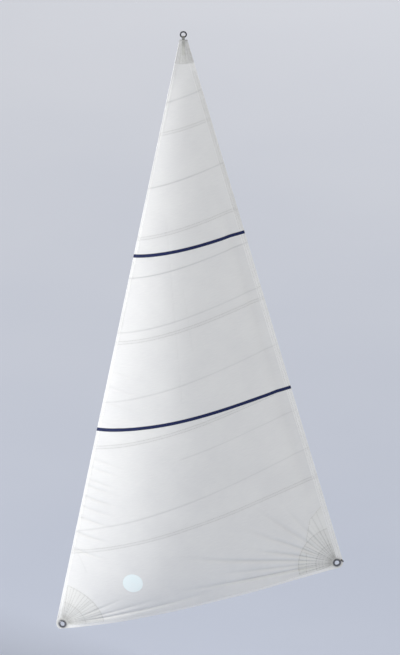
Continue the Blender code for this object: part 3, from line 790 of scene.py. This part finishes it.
TAPE_CLOTH = woven_cloth("tape_polyester", "#F5F5F3", "#EFEFED")
beside_luff_tape = inward(LUFF_SIDE, LUFF_TAPE + GAP)
beside_leech_tape = inward(LEECH_SIDE, LEECH_TAPE + GAP)
above_foot_tape = inward(FOOT_SIDE, FOOT_TAPE + GAP)
edge_tape("luff_tape", LUFF_SIDE, LUFF_UP, LUFF_TAPE, ROPE_RADIUS, FOOT_SIDE, HEAD_SIDE)
edge_tape("leech_tape", LEECH_SIDE, LEECH_UP, LEECH_TAPE, LINE_RADIUS, FOOT_SIDE, HEAD_SIDE, beside_luff_tape)
edge_tape("foot_tape", FOOT_SIDE, FOOT_AFT, FOOT_TAPE, 0.0, beside_luff_tape, beside_leech_tape)
low_end = inward(FOOT_SIDE, 0.10)
for name, side, insets, low, high, swing in (
        ("luff", LUFF_SIDE, (0.0105, LUFF_TAPE - 0.004), low_end, inward(HEAD_SIDE, 0.01), 0.006),
        ("leech", LEECH_SIDE, (0.016, LEECH_TAPE - 0.012), low_end, inward(HEAD_SIDE, 0.30), 0.013),
        ("foot", FOOT_SIDE, (FOOT_TAPE - 0.004,), inward(LUFF_SIDE, 0.10), inward(LEECH_SIDE, 0.10), 0.006)):
    ends = [[crossing(inward(side, inset), line) for line in (low, high)] for inset in insets]
    sew(name + "_tape_stitching", [(zigzag(pair, swing, swing), TAPE_NEAR, TAPE_FAR) for pair in ends],
        0.0008 + swing / 20)


def line_material(name, dark, light, grain, depth):
    """Three-strand polyester line: soft, with fibres that catch the light."""
    paint = Paint(name)
    fibre = paint.noise(paint.place(), grain, 4.0)
    return paint.finish(paint.blend(fibre, dark, light), 0.8, Normal=paint.bump(fibre, 0.4, depth))


def full_turn(count):
    """Even angles once round."""
    return np.linspace(0, 2 * math.pi, count, endpoint=False)


def cord_in_tape(name, side, way, radius, length):
    """A laid cord along an edge: a circle carried up the edge, its radius rippled by three strands that
    turn as they climb."""
    corner, out = side
    run = length - ROPE_SHORT_OF_CORNER
    climb = np.linspace(ROPE_SHORT_OF_CORNER, length, round(run / CORD_STEP))[:, None]
    turn = full_turn(18)[None]
    ripple = radius * (0.94 + 0.05 * np.cos(3 * (turn + climb / (7 * radius))))
    inset = radius + CLOTH + 2 * GAP + ripple * np.cos(turn)
    plan = corner + way * climb[..., None] - out * inset[..., None]
    points = laid(plan, TAPE_MIDDLE + ripple * np.sin(turn))
    rows, columns = points.shape[:2]
    body = np.concatenate([points.reshape(-1, 3), [points[0].mean(axis=0), points[-1].mean(axis=0)]])
    first = np.arange(columns)
    last = (rows - 1) * columns + first
    caps = [np.stack([a, b, np.full(columns, centre)], axis=-1) for a, b, centre in
            ((np.roll(first, -1), first, rows * columns), (last, np.roll(last, -1), rows * columns + 1))]
    quads = tube_quads(rows, columns)
    triangles = np.concatenate([quads[:, [0, 1, 2]], quads[:, [0, 2, 3]], *caps])
    join_body(make_piece(name, body, triangles, LAID_LINE), "cordage", name)


LAID_LINE = line_material("laid_polyester_line", "#B9B6AD", "#E6E4DC", 260.0, 0.0005)
cord_in_tape("luff_rope", LUFF_SIDE, LUFF_UP, ROPE_RADIUS, LUFF - ROPE_SHORT_OF_HEAD)
cord_in_tape("leech_line", LEECH_SIDE, LEECH_UP, LINE_RADIUS, LEECH - ROPE_SHORT_OF_HEAD)

# Corner patches
# Each corner is built up with stepped layers of the same cloth on both faces. The tack and clew patches
# are rounds about the ring, sewn along their edges and along rays that spread the load.
TACK_PATCHES = (0.385, 0.220)
CLEW_PATCHES = (0.352, 0.195)
CLEW_COVER = ((-0.280, 0.251), (-0.247, 0.439), (-0.145, 0.558))
# Painted shade: each patch layer greys the cloth for the light that the stacked layers hold back
PATCH_SHADES = (0.16, 0.24)
HIDDEN_RADIUS = 0.0285
RING_SEAT = 0.050
RAY_COUNT = 17
SHORT_RAY = 0.16
COLLAR = 0.085
HEM = 0.005
# Painted shade along the collar and the hem, for the grooves that their stitches pull
COLLAR_SHADE = 0.30
HEM_SHADE = 0.22
TIGHT_SWING = 0.006
COVER_OVERLAP = 0.62
HEAD_RAYS = 6
HEAD_RAY_DROPS = (0.012, HEAD_PATCHES[0] - 0.045)
HEAD_ROW_DROPS = (0.055, 0.095, 0.135, 0.175)


def outline_reach(angles, centre, sides, radius):
    """Distance from a centre to an outline in each direction: the least of its arc and its sides."""
    reach = np.full(angles.shape, float(radius))
    for spot, normal in sides:
        toward = np.cos(angles) * normal[0] + np.sin(angles) * normal[1]
        distance = (spot - centre) @ normal
        reach = np.where(toward > 1e-6, np.minimum(reach, distance / np.maximum(toward, 1e-6)), reach)
    return reach


def on_rays(centre, angles, distance):
    """Plan points at distances from a centre in the given directions."""
    return centre + np.stack([distance * np.cos(angles), distance * np.sin(angles)], axis=-1)


def patch_angles(centre, sides, count):
    """The directions from a ring in which its patches show past it, spread evenly from side to side."""
    out = sides[0][1] + sides[1][1]
    spread = np.radians(np.linspace(-179, 179, 1433)) + math.atan2(-out[1], -out[0])
    shown = spread[outline_reach(spread, centre, sides, 1.0) > HIDDEN_RADIUS + 0.001]
    return np.linspace(shown.max(), shown.min(), count)


def ray_angles(centre, sides):
    """Directions of the sewn rays of a corner, spread between its two sides as evenly as a hand does it."""
    angles = patch_angles(centre, sides, 400)
    open_way = angles[outline_reach(angles, centre, sides, SHORT_RAY) > SHORT_RAY - 1e-6]
    return np.linspace(open_way[0], open_way[-1], RAY_COUNT) + 0.018 * np.sin(5.1 * np.arange(RAY_COUNT))


def corner_patch(name, centre, sides, radius, low, grey, ray_shade, more_sides=()):
    """A patch on polar lines from its ring: rows are directions, columns run out to its outline. Painted
    shade greys it along its sewn rays, more at some corners than others, along its collar and along its sewn
    edge, for the grooves that the stitches pull."""
    angles = patch_angles(centre, sides, 420)[:, None]
    reach = outline_reach(angles, centre, [*sides, *more_sides], radius)
    distance = HIDDEN_RADIUS + (reach - HIDDEN_RADIUS) * np.linspace(0, 1, 46)[None]
    stitched = ray_shade * (distance > RING_SEAT) * (0.72 + 0.25 * np.sin(2 * math.pi * distance / 0.031))
    stitched = stitched * (1 - 0.55 * smooth(0.16, 0.30, distance))
    weights = 0.7 + 0.3 * np.sin(2.3 * np.arange(RAY_COUNT))
    rays = sum(weight * bell(distance * np.sin(np.minimum(np.abs(angles - ray), 1.5)), 0.0050)
               for ray, weight in zip(ray_angles(centre, sides), weights))
    grey = grey + stitched * rays + COLLAR_SHADE * bell(distance - COLLAR, 0.0050)
    grey = grey + HEM_SHADE * bell(reach - distance - HEM, 0.0045) * (reach > 0.15)
    cloth_piece(name, on_rays(centre, angles, distance), low, PATCH_CLOTH, "patch_cloth", "laid", grey=grey)


def patch_rays(centre, sides, radius, start):
    """Lines of stitches from near a ring to its patch's round edge, less those that a side cuts short."""
    angles = ray_angles(centre, sides)
    angles = angles[outline_reach(angles, centre, sides, radius) > start + 0.02]
    ends = outline_reach(angles, centre, sides, radius) - 0.006
    near, far = (on_rays(centre, angles, distance) for distance in (start, ends))
    return [zigzag(pair, TIGHT_SWING, TIGHT_SWING) for pair in zip(near, far)]


def patch_arc(centre, sides, radius):
    """The sewn line just inside a patch's round edge."""
    angles = patch_angles(centre, sides, 400)
    angles = angles[outline_reach(angles, centre, sides, radius) > radius - 1e-6]
    return zigzag(on_rays(centre, angles, radius - HEM))


PATCH_CLOTH = woven_cloth("patch_polyester", "#F0F0ED", "#E8E8E4", crinkle=0.4)
tack_sides = (beside_luff_tape, above_foot_tape)
clew_sides = (beside_leech_tape, above_foot_tape)
for corner, centre, sides, radii, first, ray_shade in (("tack", TACK_RING, tack_sides, TACK_PATCHES, 1, 0.6),
                                                  ("clew", CLEW_RING, clew_sides, CLEW_PATCHES, 2, 1.0)):
    for number, radius in enumerate(radii):
        for face, low in (("front", (first + number) * LAYER), ("back", -(1 + number) * LAYER)):
            corner_patch("%s_patch_%s_%d" % (corner, face, number + 1), centre, sides, radius, low,
                         PATCH_SHADES[number], ray_shade)
    outer, inner = radii
    near, far = (first + 1) * LAYER + CLOTH, -2 * LAYER
    rows = [(ray, near, far) for ray in patch_rays(centre, sides, inner, RING_SEAT)]
    rows += [(ray, near - LAYER, far + LAYER) for ray in patch_rays(centre, sides, outer, inner + 0.004)]
    rows += [(patch_arc(centre, sides, radius), near, far) for radius in (inner, COLLAR)]
    rows += [(patch_arc(centre, sides, outer), near - LAYER, far + LAYER)]
    sew(corner + "_patch_stitching", rows)

# A larger cover patch lies over the clew's, cut straight on four sides and sewn just inside them
cover = [CLEW_RING + np.array(point) for point in CLEW_COVER]
cover_chain = [np.array([cover[0][0], CLEW[1] - 0.5])] + cover
cover_lines = [(low, -outward(low, high)) for low, high in zip(cover_chain, cover_chain[1:])]
# Painted shade: the cover patch is a little greyer, for the light that its extra layer holds back
corner_patch("clew_cover_patch", CLEW_RING, clew_sides, 1.0, LAYER, 0.06, 1.0, cover_lines)
hems = [inward(FOOT_SIDE, FOOT_TAPE), *(inward(line, HEM) for line in cover_lines),
        inward(LEECH_SIDE, LEECH_TAPE)]
cover_path = [crossing(low, high) for low, high in zip(hems, hems[1:])]
over_patch = [cover_path[0], cover_path[0] + (cover_path[1] - cover_path[0]) * COVER_OVERLAP]
sew("clew_cover_stitching", [(zigzag(cover_path), LAYER + CLOTH, -LAYER),
                             (zigzag(over_patch, 0.007, 0.004), 2 * LAYER + CLOTH, None)], 0.0012)

head_sides = (beside_luff_tape, beside_leech_tape)
head_apex = crossing(*head_sides)


def head_patch_plan(radius):
    """Plan of a head patch: its low edge is an arc about the head ring, drawn up to where the tapes meet."""
    turn = []
    for spot, normal in head_sides:
        distance = (spot - head_centre) @ normal
        down = np.array([normal[1], -normal[0]]) * (-1 if normal[0] < 0 else 1)
        low_end = normal * distance + down * math.sqrt(radius ** 2 - distance ** 2)
        turn.append(math.atan2(low_end[1], low_end[0]))
    arc = on_rays(head_centre, np.linspace(*turn, 60)[:, None], radius)
    return arc + (head_apex - arc) * np.linspace(0, 0.985, 110)[:, None]


rows = []
# Painted shade: the second head patch is a little greyer, for the light that more layers hold back
for number, radius in enumerate(HEAD_PATCHES):
    plan = head_patch_plan(radius)
    for face, low in (("front", number * LAYER), ("back", -(2 + number) * LAYER)):
        cloth_piece("head_patch_%s_%d" % (face, number + 1), plan, low, PATCH_CLOTH, "patch_cloth", "laid",
                    grey=0.04 * number)
    rows.append((zigzag(plan[:, 2]), number * LAYER + CLOTH, -(2 + number) * LAYER))
level_ends = [[crossing(inward(side, 0.006), inward(HEAD_SIDE, drop)) for side in (LUFF_SIDE, LEECH_SIDE)]
              for drop in HEAD_RAY_DROPS]
for across in np.linspace(0.06, 0.94, HEAD_RAYS):
    ends = [luff * (1 - across) + leech * across for luff, leech in level_ends]
    rows.append((zigzag(ends, TIGHT_SWING, TIGHT_SWING), TAPE_NEAR, -3 * LAYER))
for drop in HEAD_ROW_DROPS:
    level = inward(HEAD_SIDE, drop)
    ends = [crossing(inward(LUFF_SIDE, 0.010), level), crossing(inward(LEECH_SIDE, 0.006), level)]
    rows.append((zigzag(ends), TAPE_NEAR, -3 * LAYER))
sew("head_patch_stitching", rows)

# Draft stripes
# Strips of navy adhesive ripstop, rubbed down across both faces from edge to edge, so that the crew can
# read the sail's shape. They lie flat on the panels and step up over the edge tapes.
STRIPE_WIDTH = 0.030
STRIPE_HEIGHTS = {"lower": 0.331, "upper": 0.617}
STRIPE_INSET = 0.0016
STRIPE_GRID = (0.009, 0.005)
STRIPE_FRONT = 0.0011
STRIPE_BACK = -0.0016
FILM = 0.0002

# Nylon ripstop: satin, with a faint 5 mm check of thicker yarns
paint = Paint("navy_ripstop")
uv = paint.uv()
yarns = [paint.maths("PINGPONG", part, 1.0) for part in paint.scaled(uv, 200.0, 200.0)[0]]
ridge = paint.ramp(paint.maths("MAXIMUM", *yarns), 0.85, 1.0)
NAVY = paint.finish(paint.blend(paint.noise(uv, 14.0, 5.0), "#151F43", "#1F2B5B"), 0.6, 0.25,
                    Normal=paint.bump(ridge, 0.4, 0.0003))
for place, share in STRIPE_HEIGHTS.items():
    middle = TACK + (HEAD - TACK) * share
    low, high = ((middle + FOOT_OUT * side * STRIPE_WIDTH / 2, FOOT_OUT) for side in (1, -1))
    plan = between_lines(low, high, inward(LUFF_SIDE, STRIPE_INSET), inward(LEECH_SIDE, STRIPE_INSET),
                         *STRIPE_GRID)
    on_tape, swell = 0.0, 0.0
    for side, tape, cord in ((LUFF_SIDE, LUFF_TAPE, ROPE_RADIUS), (LEECH_SIDE, LEECH_TAPE, LINE_RADIUS)):
        to_edge = inside(side, plan)
        on_tape = on_tape + 1 - smooth(tape + 0.001, tape + 0.008, to_edge)
        fold = cord + GAP + CLOTH
        round_over = np.sqrt(np.maximum(fold ** 2 - (to_edge - fold) ** 2, 0.0)) - LEG_SPREAD
        swell = np.maximum(swell, round_over)
    front = STRIPE_FRONT + TAPE_NEAR * on_tape + swell
    back = STRIPE_BACK - FILM + (TAPE_FAR - STRIPE_FRONT - STRIPE_BACK) * on_tape - swell
    for face, low in (("front", front), ("back", back)):
        cloth_piece("%s_stripe_%s" % (place, face), plan, low, NAVY, "stripe_cloth", "laid", thick=FILM)

# Badge
# A round of smooth adhesive sailcloth, of the kind that carries a sail's markings. It is left blank, and
# is rubbed down on the front of the lowest panel.
BADGE_RADIUS = 0.090
BADGE_ALONG_FOOT = 0.731
BADGE_ABOVE_TACK_RING = 0.338
BADGE_BACK = 0.0005

# Calendered film: a cool white, smoother than the sail, with a slight orange peel
paint = Paint("adhesive_film")
uv = paint.uv()
badge_film = paint.finish(paint.blend(paint.noise(uv, 12.0, 3.0), "#F0FFFF", "#F8FFFF"), 0.38,
                          Normal=paint.bump(paint.noise(uv, 500.0, 2.0), 0.15, 0.0003))
badge_centre = FOOT_AFT * BADGE_ALONG_FOOT - FOOT_OUT * BADGE_ABOVE_TACK_RING
s, t = np.meshgrid(np.linspace(-1, 1, 41), np.linspace(-1, 1, 41), indexing="ij")
# A square's grid drawn out to a round: each side's share is shortened by half the square of the other
disc = np.stack([s * np.sqrt(1 - t ** 2 / 2), t * np.sqrt(1 - s ** 2 / 2)], axis=-1)
cloth_piece("blank_badge", badge_centre + BADGE_RADIUS * disc, BADGE_BACK, badge_film, "badge_film", "laid",
            thick=FILM)

# Pressed rings
# Tack and clew each have a stainless ring on both faces, clamped through the cloth by a liner whose
# two lips a press has rolled over them. Salt has dulled the steel to a dark grey.
LINER_BORE = 0.0205
LINER_THICKNESS = 0.0014
LINER_EASE = 0.0020
LIP_RADIUS = 0.0285
LIP_DROOP = 0.0004
RING_HOLE = 0.0245
RING_OUTER = 0.0355


def steel_material(name, light, dark, roughness):
    """Weathered metal: dark and slightly pitted, with brighter, smoother rubbed patches."""
    paint = Paint(name)
    place = paint.place()
    stain = paint.noise(place, 160.0, 6.0)
    colour = paint.blend(paint.ramp(stain, 0.35, 0.68), dark, light)
    gloss = paint.ramp(stain, 0.3, 0.7, roughness + 0.12, roughness - 0.08)
    pits = paint.bump(paint.noise(place, 900.0, 3.0), 0.25, 0.0003)
    return paint.finish(colour, gloss, Metallic=1.0, Normal=pits)


def turned(name, profile, spot, normal, material, steps=96):
    """A ring turned about a normal from a closed profile of radii and heights."""
    aside = unit(np.cross(normal, (0.0, 0.0, 1.0)))
    upward = np.cross(aside, normal)
    turn = full_turn(steps)[:, None, None]
    radius, height = profile[None, :, 0, None], profile[None, :, 1, None]
    points = spot + radius * (np.cos(turn) * aside + np.sin(turn) * upward) + height * normal
    return make_piece(name, points, tube_quads(steps, len(profile), closed_rows=True), material, sharp=60.0)


def rounded_box(inner, outer, low, high, softness=0.55, count=28):
    """A rectangle with soft corners: a circle whose cosine and sine are raised to a power."""
    turn = full_turn(count)
    swing = [np.sign(part) * np.abs(part) ** softness for part in (np.cos(turn), np.sin(turn))]
    return np.stack([(inner + outer) / 2 + (outer - inner) / 2 * swing[0],
                     (low + high) / 2 + (high - low) / 2 * swing[1]], axis=-1)


def liner_profile(low, high):
    """A liner in section: lip, quarter round, wall, quarter round, lip, as a path with rounded ends."""
    half = LINER_THICKNESS / 2
    top, bottom = high - half, low + half
    lip, bend = LIP_RADIUS - half, LINER_BORE + half + LINER_EASE
    quarter = np.linspace(0, math.pi / 2, 7)
    sine, cosine = LINER_EASE * np.sin(quarter), LINER_EASE * np.cos(quarter)
    radii = np.concatenate([[lip, bend], bend - sine, bend - cosine, [bend, lip]])
    heights = np.concatenate([[top - LIP_DROOP, top], top - LINER_EASE + cosine, bottom + LINER_EASE - sine,
                              [bottom, bottom + LIP_DROOP]])
    path = np.stack([radii, heights], axis=-1)
    side = left_of(path) * half
    way = np.stack([side[:, 1], -side[:, 0]], axis=-1)
    return np.concatenate([path + side, [path[-1] + way[-1]], (path - side)[::-1], [path[0] - way[0]]])


def span(name, spot, normal):
    """Lowest and highest point of a node along a normal."""
    heights = (vertices(name) - spot) @ normal
    return heights.min(), heights.max()


STEEL = steel_material("weathered_stainless", "#88898D", "#626367", 0.36)
for corner in ("tack", "clew"):
    spot, normal = openings[corner + "_ring_hole"], facing(corner + "_ring_liner")
    for part in ("front", "back", "liner"):
        name = "%s_ring_%s" % (corner, part)
        ends = span(name, spot, normal)
        profile = liner_profile(*ends) if part == "liner" else rounded_box(RING_HOLE, RING_OUTER, *ends)
        join_body(turned(name, profile, spot, normal, STEEL), "stainless", name)

# Head ring and strap
# A round ring of 12.8 mm stainless bar, butt welded, hangs in a loop of polyester webbing that is sewn
# down both faces of the head. The ring swings in the loop on the one joint that the sail has.
HEAD_RING_RADIUS = 0.0265
HEAD_RING_WIRE = 0.0064
WELD_PLACE = 2.4
WELD_PROUD = 0.07
WELD_SPREAD = 0.06
STRAP_WIDTH = 0.025
STRAP_THICKNESS = 0.0015
STRAP_LEG = 0.150
STRAP_COLUMNS = 15
STRAP_GRID = 0.002
HEAD_RING_ABOVE_CUT = 0.024
# Darkening of the strap about the loop and below the ring: its strength, and its window of distance
# from the middle of the loop
STRAP_DARKENING = ((0.8, 0.003, 0.009, 0.019, 0.023), (0.95, 0.024, 0.027, 0.036, 0.044),
               (0.35, 0.038, 0.048, 0.08, 0.14))
# The boxed stitches: plan points from the hinge, across and up, and the lines between them
BOX_CORNERS = ((-0.0095, -0.034), (0.0095, -0.034), (0.0095, -0.168), (-0.0095, -0.168), (-0.0095, -0.101),
               (0.0095, -0.101))
BOX_LINES = ((0, 1), (1, 2), (2, 3), (3, 0), (4, 5), (0, 5), (1, 4), (4, 2), (5, 3))

ring_turn, wire_turn = full_turn(120)[:, None], full_turn(28)[None]
# The weld stands proud of the wire in a narrow bell at the side of the ring
from_weld = np.angle(np.exp(1j * (ring_turn - WELD_PLACE)))
wire = HEAD_RING_WIRE * (1 + WELD_PROUD * bell(from_weld, WELD_SPREAD))
out = HEAD_RING_RADIUS + wire * np.cos(wire_turn)
ring_points = (head_ring_centre + (out * np.cos(ring_turn))[..., None] * hinge_axis
               + (out * np.sin(ring_turn))[..., None] * head_up
               + (wire * np.sin(wire_turn))[..., None] * head_normal)
RING_STEEL = steel_material("oxidised_stainless", "#5C5D62", "#323338", 0.40)
head_ring = make_piece("head_ring", ring_points, tube_quads(120, 28, closed_rows=True), RING_STEEL, sharp=80.0)
join_body(head_ring, "stainless", "head_ring", body="head_ring")

# Flat-woven webbing: ribs across it 1.6 mm apart, soft and slightly grey with use
paint = Paint("polyester_webbing")
uv = paint.uv()
colour = paint.blend(paint.noise(uv, 60.0, 5.0), "#CDCEC7", "#E6E6E0")
webbing = paint.finish(paint.blend(paint.tone(), colour, "#4B4C4A"), 0.85,
                       Normal=paint.bump(paint.weave(uv, 0.0016, 0.0024), 0.5, 0.0006))

# The strap in section: up its front leg, round the loop in which the ring turns, and down its back leg
slant = math.asin(STRAP_WIDTH / 2 / HEAD_RING_RADIUS)
loop_radius = HEAD_RING_WIRE / math.cos(slant) + HEAD_RING_RADIUS * (1 - math.cos(slant)) + 4 * GAP
leg_down = np.linspace(-STRAP_LEG, -0.003, 30) - HEAD_RING_ABOVE_CUT
loop_turn = np.linspace(0, math.pi, 25)
front_leg = TAPE_NEAR + 2 * GAP
back_leg = -(TAPE_FAR - LAYER) + 2 * GAP
strap_out = np.concatenate([np.full(30, front_leg), loop_radius * np.cos(loop_turn), np.full(30, -back_leg)])
strap_up = np.concatenate([leg_down, loop_radius * np.sin(loop_turn), leg_down[::-1]])
strap_path = even_path(np.stack([strap_out, strap_up], axis=-1), STRAP_GRID)
strap_run = run_along(strap_path)


def strap_face(raised):
    """One face of the webbing: its path carried across its width, with thin selvedges."""
    across = np.linspace(-1, 1, STRAP_COLUMNS)
    edge = 1 - 0.35 * np.abs(across) ** 8
    lift = (raised - STRAP_THICKNESS / 2) * edge + STRAP_THICKNESS / 2
    place = strap_path[:, None] - left_of(strap_path)[:, None] * lift[None, :, None]
    return (hinge_spot + across[None, :, None] * STRAP_WIDTH / 2 * hinge_axis
            + place[..., :1] * head_normal + place[..., 1:] * head_up)


points, quads = closed_sheet(strap_face(STRAP_THICKNESS), strap_face(0.0))
run, width = np.broadcast_arrays(strap_run[:, None], np.linspace(0, STRAP_WIDTH, STRAP_COLUMNS)[None])
from_loop = np.abs(run - strap_run[-1] / 2)
strap_darkening = sum(strength * window(from_loop, *places) for strength, *places in STRAP_DARKENING)
strap = make_piece("head_strap", points, quads, webbing, both_faces(np.stack([run, width], axis=-1)),
                   tones=both_faces(strap_darkening))
join_body(strap, "webbing", "head_strap")
# A box of stitches with crosses in it holds each leg, through both legs and all the cloth between them
corners = [(hinge_spot + hinge_axis * across + head_up * up)[[0, 2]] for across, up in BOX_CORNERS]
over_strap, under_strap = front_leg + STRAP_THICKNESS, -(back_leg + STRAP_THICKNESS)
sew("head_strap_stitching", [(zigzag((corners[a], corners[b]), 0.0016, 0.003), over_strap, under_strap)
                             for a, b in BOX_LINES], 0.0009)

# Leech line end
# The leech line comes out of its tape through a small brass eyelet above the clew and ends in a stopper
# knot that bears on it.
EYELET_BORE = 0.0035
EYELET_OUTER = 0.0075
KNOT_FROM_CLEW_RING = (0.056, 0.011)
KNOT_FROM_EYELET = 0.0180
KNOT_HEIGHT = 0.0034
KNOT_RADIUS = 0.0038
KNOT_LOBE = 0.0017
KNOT_LEAD = 0.014
KNOT_DIP = 0.0021
KNOT_LINE_RADIUS = 1.5 * LINE_RADIUS

eyelet_spot = vertices("leech_line_eyelet").mean(axis=0)
eyelet_normal = facing("clew_ring_liner")
eyelet_ends = span("leech_line_eyelet", eyelet_spot, eyelet_normal)
# Brass left outdoors: brown-grey tarnish with the yellow showing where it is rubbed
dull_brass = steel_material("dull_brass", "#8C7A55", "#4E4638", 0.42)
eyelet = turned("leech_line_eyelet", rounded_box(EYELET_BORE, EYELET_OUTER, *eyelet_ends), eyelet_spot,
                eyelet_normal, dull_brass, steps=48)
join_body(eyelet, "eyelet_brass", "leech_line_eyelet")

# A trefoil: the line goes twice round while it dips through itself three times. One of its three lobes is
# drawn out, and is the line that comes down from the eyelet
turn = np.linspace(-math.pi, math.pi, 260, endpoint=False)
radius = KNOT_RADIUS + KNOT_LOBE * np.cos(3 * turn) + KNOT_LEAD * bell(turn, 0.20)
knot_line = np.stack([radius * np.cos(2 * turn), radius * np.sin(2 * turn), KNOT_DIP * np.sin(3 * turn)],
                     axis=-1)
knot_way = unit(np.gradient(np.concatenate([knot_line[-1:], knot_line, knot_line[:1]]), axis=0)[1:-1])
knot_aside = unit(np.cross(knot_way, (0.0, 0.0, 1.0)))
knot_up = np.cross(knot_aside, knot_way)
around = full_turn(12)[None, :, None]
knot_points = knot_line[:, None] + KNOT_LINE_RADIUS * (np.cos(around) * knot_aside[:, None]
                                                       + np.sin(around) * knot_up[:, None])
knot_place = CLEW_RING + np.array(KNOT_FROM_CLEW_RING)
lead = unit(np.array([eyelet_spot[0] - knot_place[0], 0.0, eyelet_spot[2] - knot_place[1]]))
lead = unit(lead - eyelet_normal * (lead @ eyelet_normal))
knot_frame = np.stack([lead, np.cross(eyelet_normal, lead), eyelet_normal])
knot_spot = eyelet_spot - lead * KNOT_FROM_EYELET + eyelet_normal * (eyelet_ends[1] + KNOT_HEIGHT)
# The same line where hands and weather reach it is grey-black
weathered_line = line_material("weathered_line", "#333438", "#6A6A6C", 420.0, 0.0004)
knot = make_piece("leech_line_knot", knot_spot + knot_points @ knot_frame,
                  tube_quads(260, 12, closed_rows=True), weathered_line, sharp=80.0)
join_body(knot, "cordage")

# Studio
# A pale blue-grey floor well below the sail fills the view behind it. A broad soft light far to the left
# models the belly, one high on the right fills it, a low one reaches under the foot, and one behind the
# sail lightens the floor beyond it.
VIEW_DOWN = math.radians(23.0)
VIEW_MIDDLE = (1.2375, 0.0, 2.896)
VIEW_HEIGHT = 655 * 0.0090
VIEW_DISTANCE = 40.0
FLOOR_DROP = 1.1
FLOOR_HALF = 60.0
SAIL_MIDDLE = (1.2, 0.0, 2.8)
WORLD_LIGHT = 0.32
# Name, place, target, size and power of each light
LIGHTS = (
    ("key_light", (-31.0, -3.3, 8.3), SAIL_MIDDLE, 9.0, 8600.0),
    ("fill_light", (21.0, -16.0, 22.0), SAIL_MIDDLE, 7.0, 3300.0),
    ("foot_light", (-9.0, -18.0, 1.2), (1.0, 0.0, 0.4), 4.0, 500.0),
    ("back_light", (14.0, 38.0, 7.0), SAIL_MIDDLE, 9.0, 5200.0),
)


def add_object(name, data, place):
    """An object with its data at a place."""
    made = bpy.data.objects.new(name, data)
    made.location = place
    bpy.context.scene.collection.objects.link(made)
    return made


# Painted floor: matt, with soft cloudy patches, and lighter away from the middle as painted light that
# makes up for the lamps' falloff over the far floor
paint = Paint("studio_floor")
place = paint.place()
distance = paint.add("VectorMath", {0: place}, operation="LENGTH").outputs["Value"]
away = paint.ramp(distance, 4.0, 17.0, -0.15, 0.85)
cloud = paint.maths("MULTIPLY", paint.noise(place, 0.45, 2.0), 0.3)
floor_colour = paint.blend(paint.maths("ADD", cloud, away), "#D7DEEF", "#F3F6FF")
floor_mesh = bpy.data.meshes.new("studio_floor")
floor_corners = [(FLOOR_HALF * x, FLOOR_HALF * y, 0.0) for x, y in ((-1, -1), (1, -1), (1, 1), (-1, 1))]
floor_mesh.from_pydata(floor_corners, [], [(0, 1, 2, 3)])
floor_mesh.materials.append(paint.finish(floor_colour, 0.9, 0.1))
floor = add_object("studio_floor", floor_mesh, (VIEW_MIDDLE[0], 0.0, -FLOOR_DROP))

for name, place, target, size, power in LIGHTS:
    light = bpy.data.lights.new(name, "AREA")
    light.shape = "SQUARE"
    light.size = size
    light.energy = power
    lamp = add_object(name, light, place)
    lamp.rotation_mode = "QUATERNION"
    lamp.rotation_quaternion = (Vector(place) - Vector(target)).to_track_quat("Z", "Y")

world = bpy.data.worlds.new("studio")
bpy.context.scene.world = world
world.use_nodes = True
background = world.node_tree.nodes["Background"]
background.inputs["Color"].default_value = srgb("#F6F5F3")
background.inputs["Strength"].default_value = WORLD_LIGHT

camera_data = bpy.data.cameras.new("camera")
camera_data.type = "ORTHO"
camera_data.ortho_scale = VIEW_HEIGHT
camera = add_object("camera", camera_data, (VIEW_MIDDLE[0], -VIEW_DISTANCE * math.cos(VIEW_DOWN),
                                            VIEW_MIDDLE[2] + VIEW_DISTANCE * math.sin(VIEW_DOWN)))
camera.rotation_euler = (math.pi / 2 - VIEW_DOWN, 0.0, 0.0)
bpy.context.scene.camera = camera
bpy.context.scene.view_settings.view_transform = "Standard"
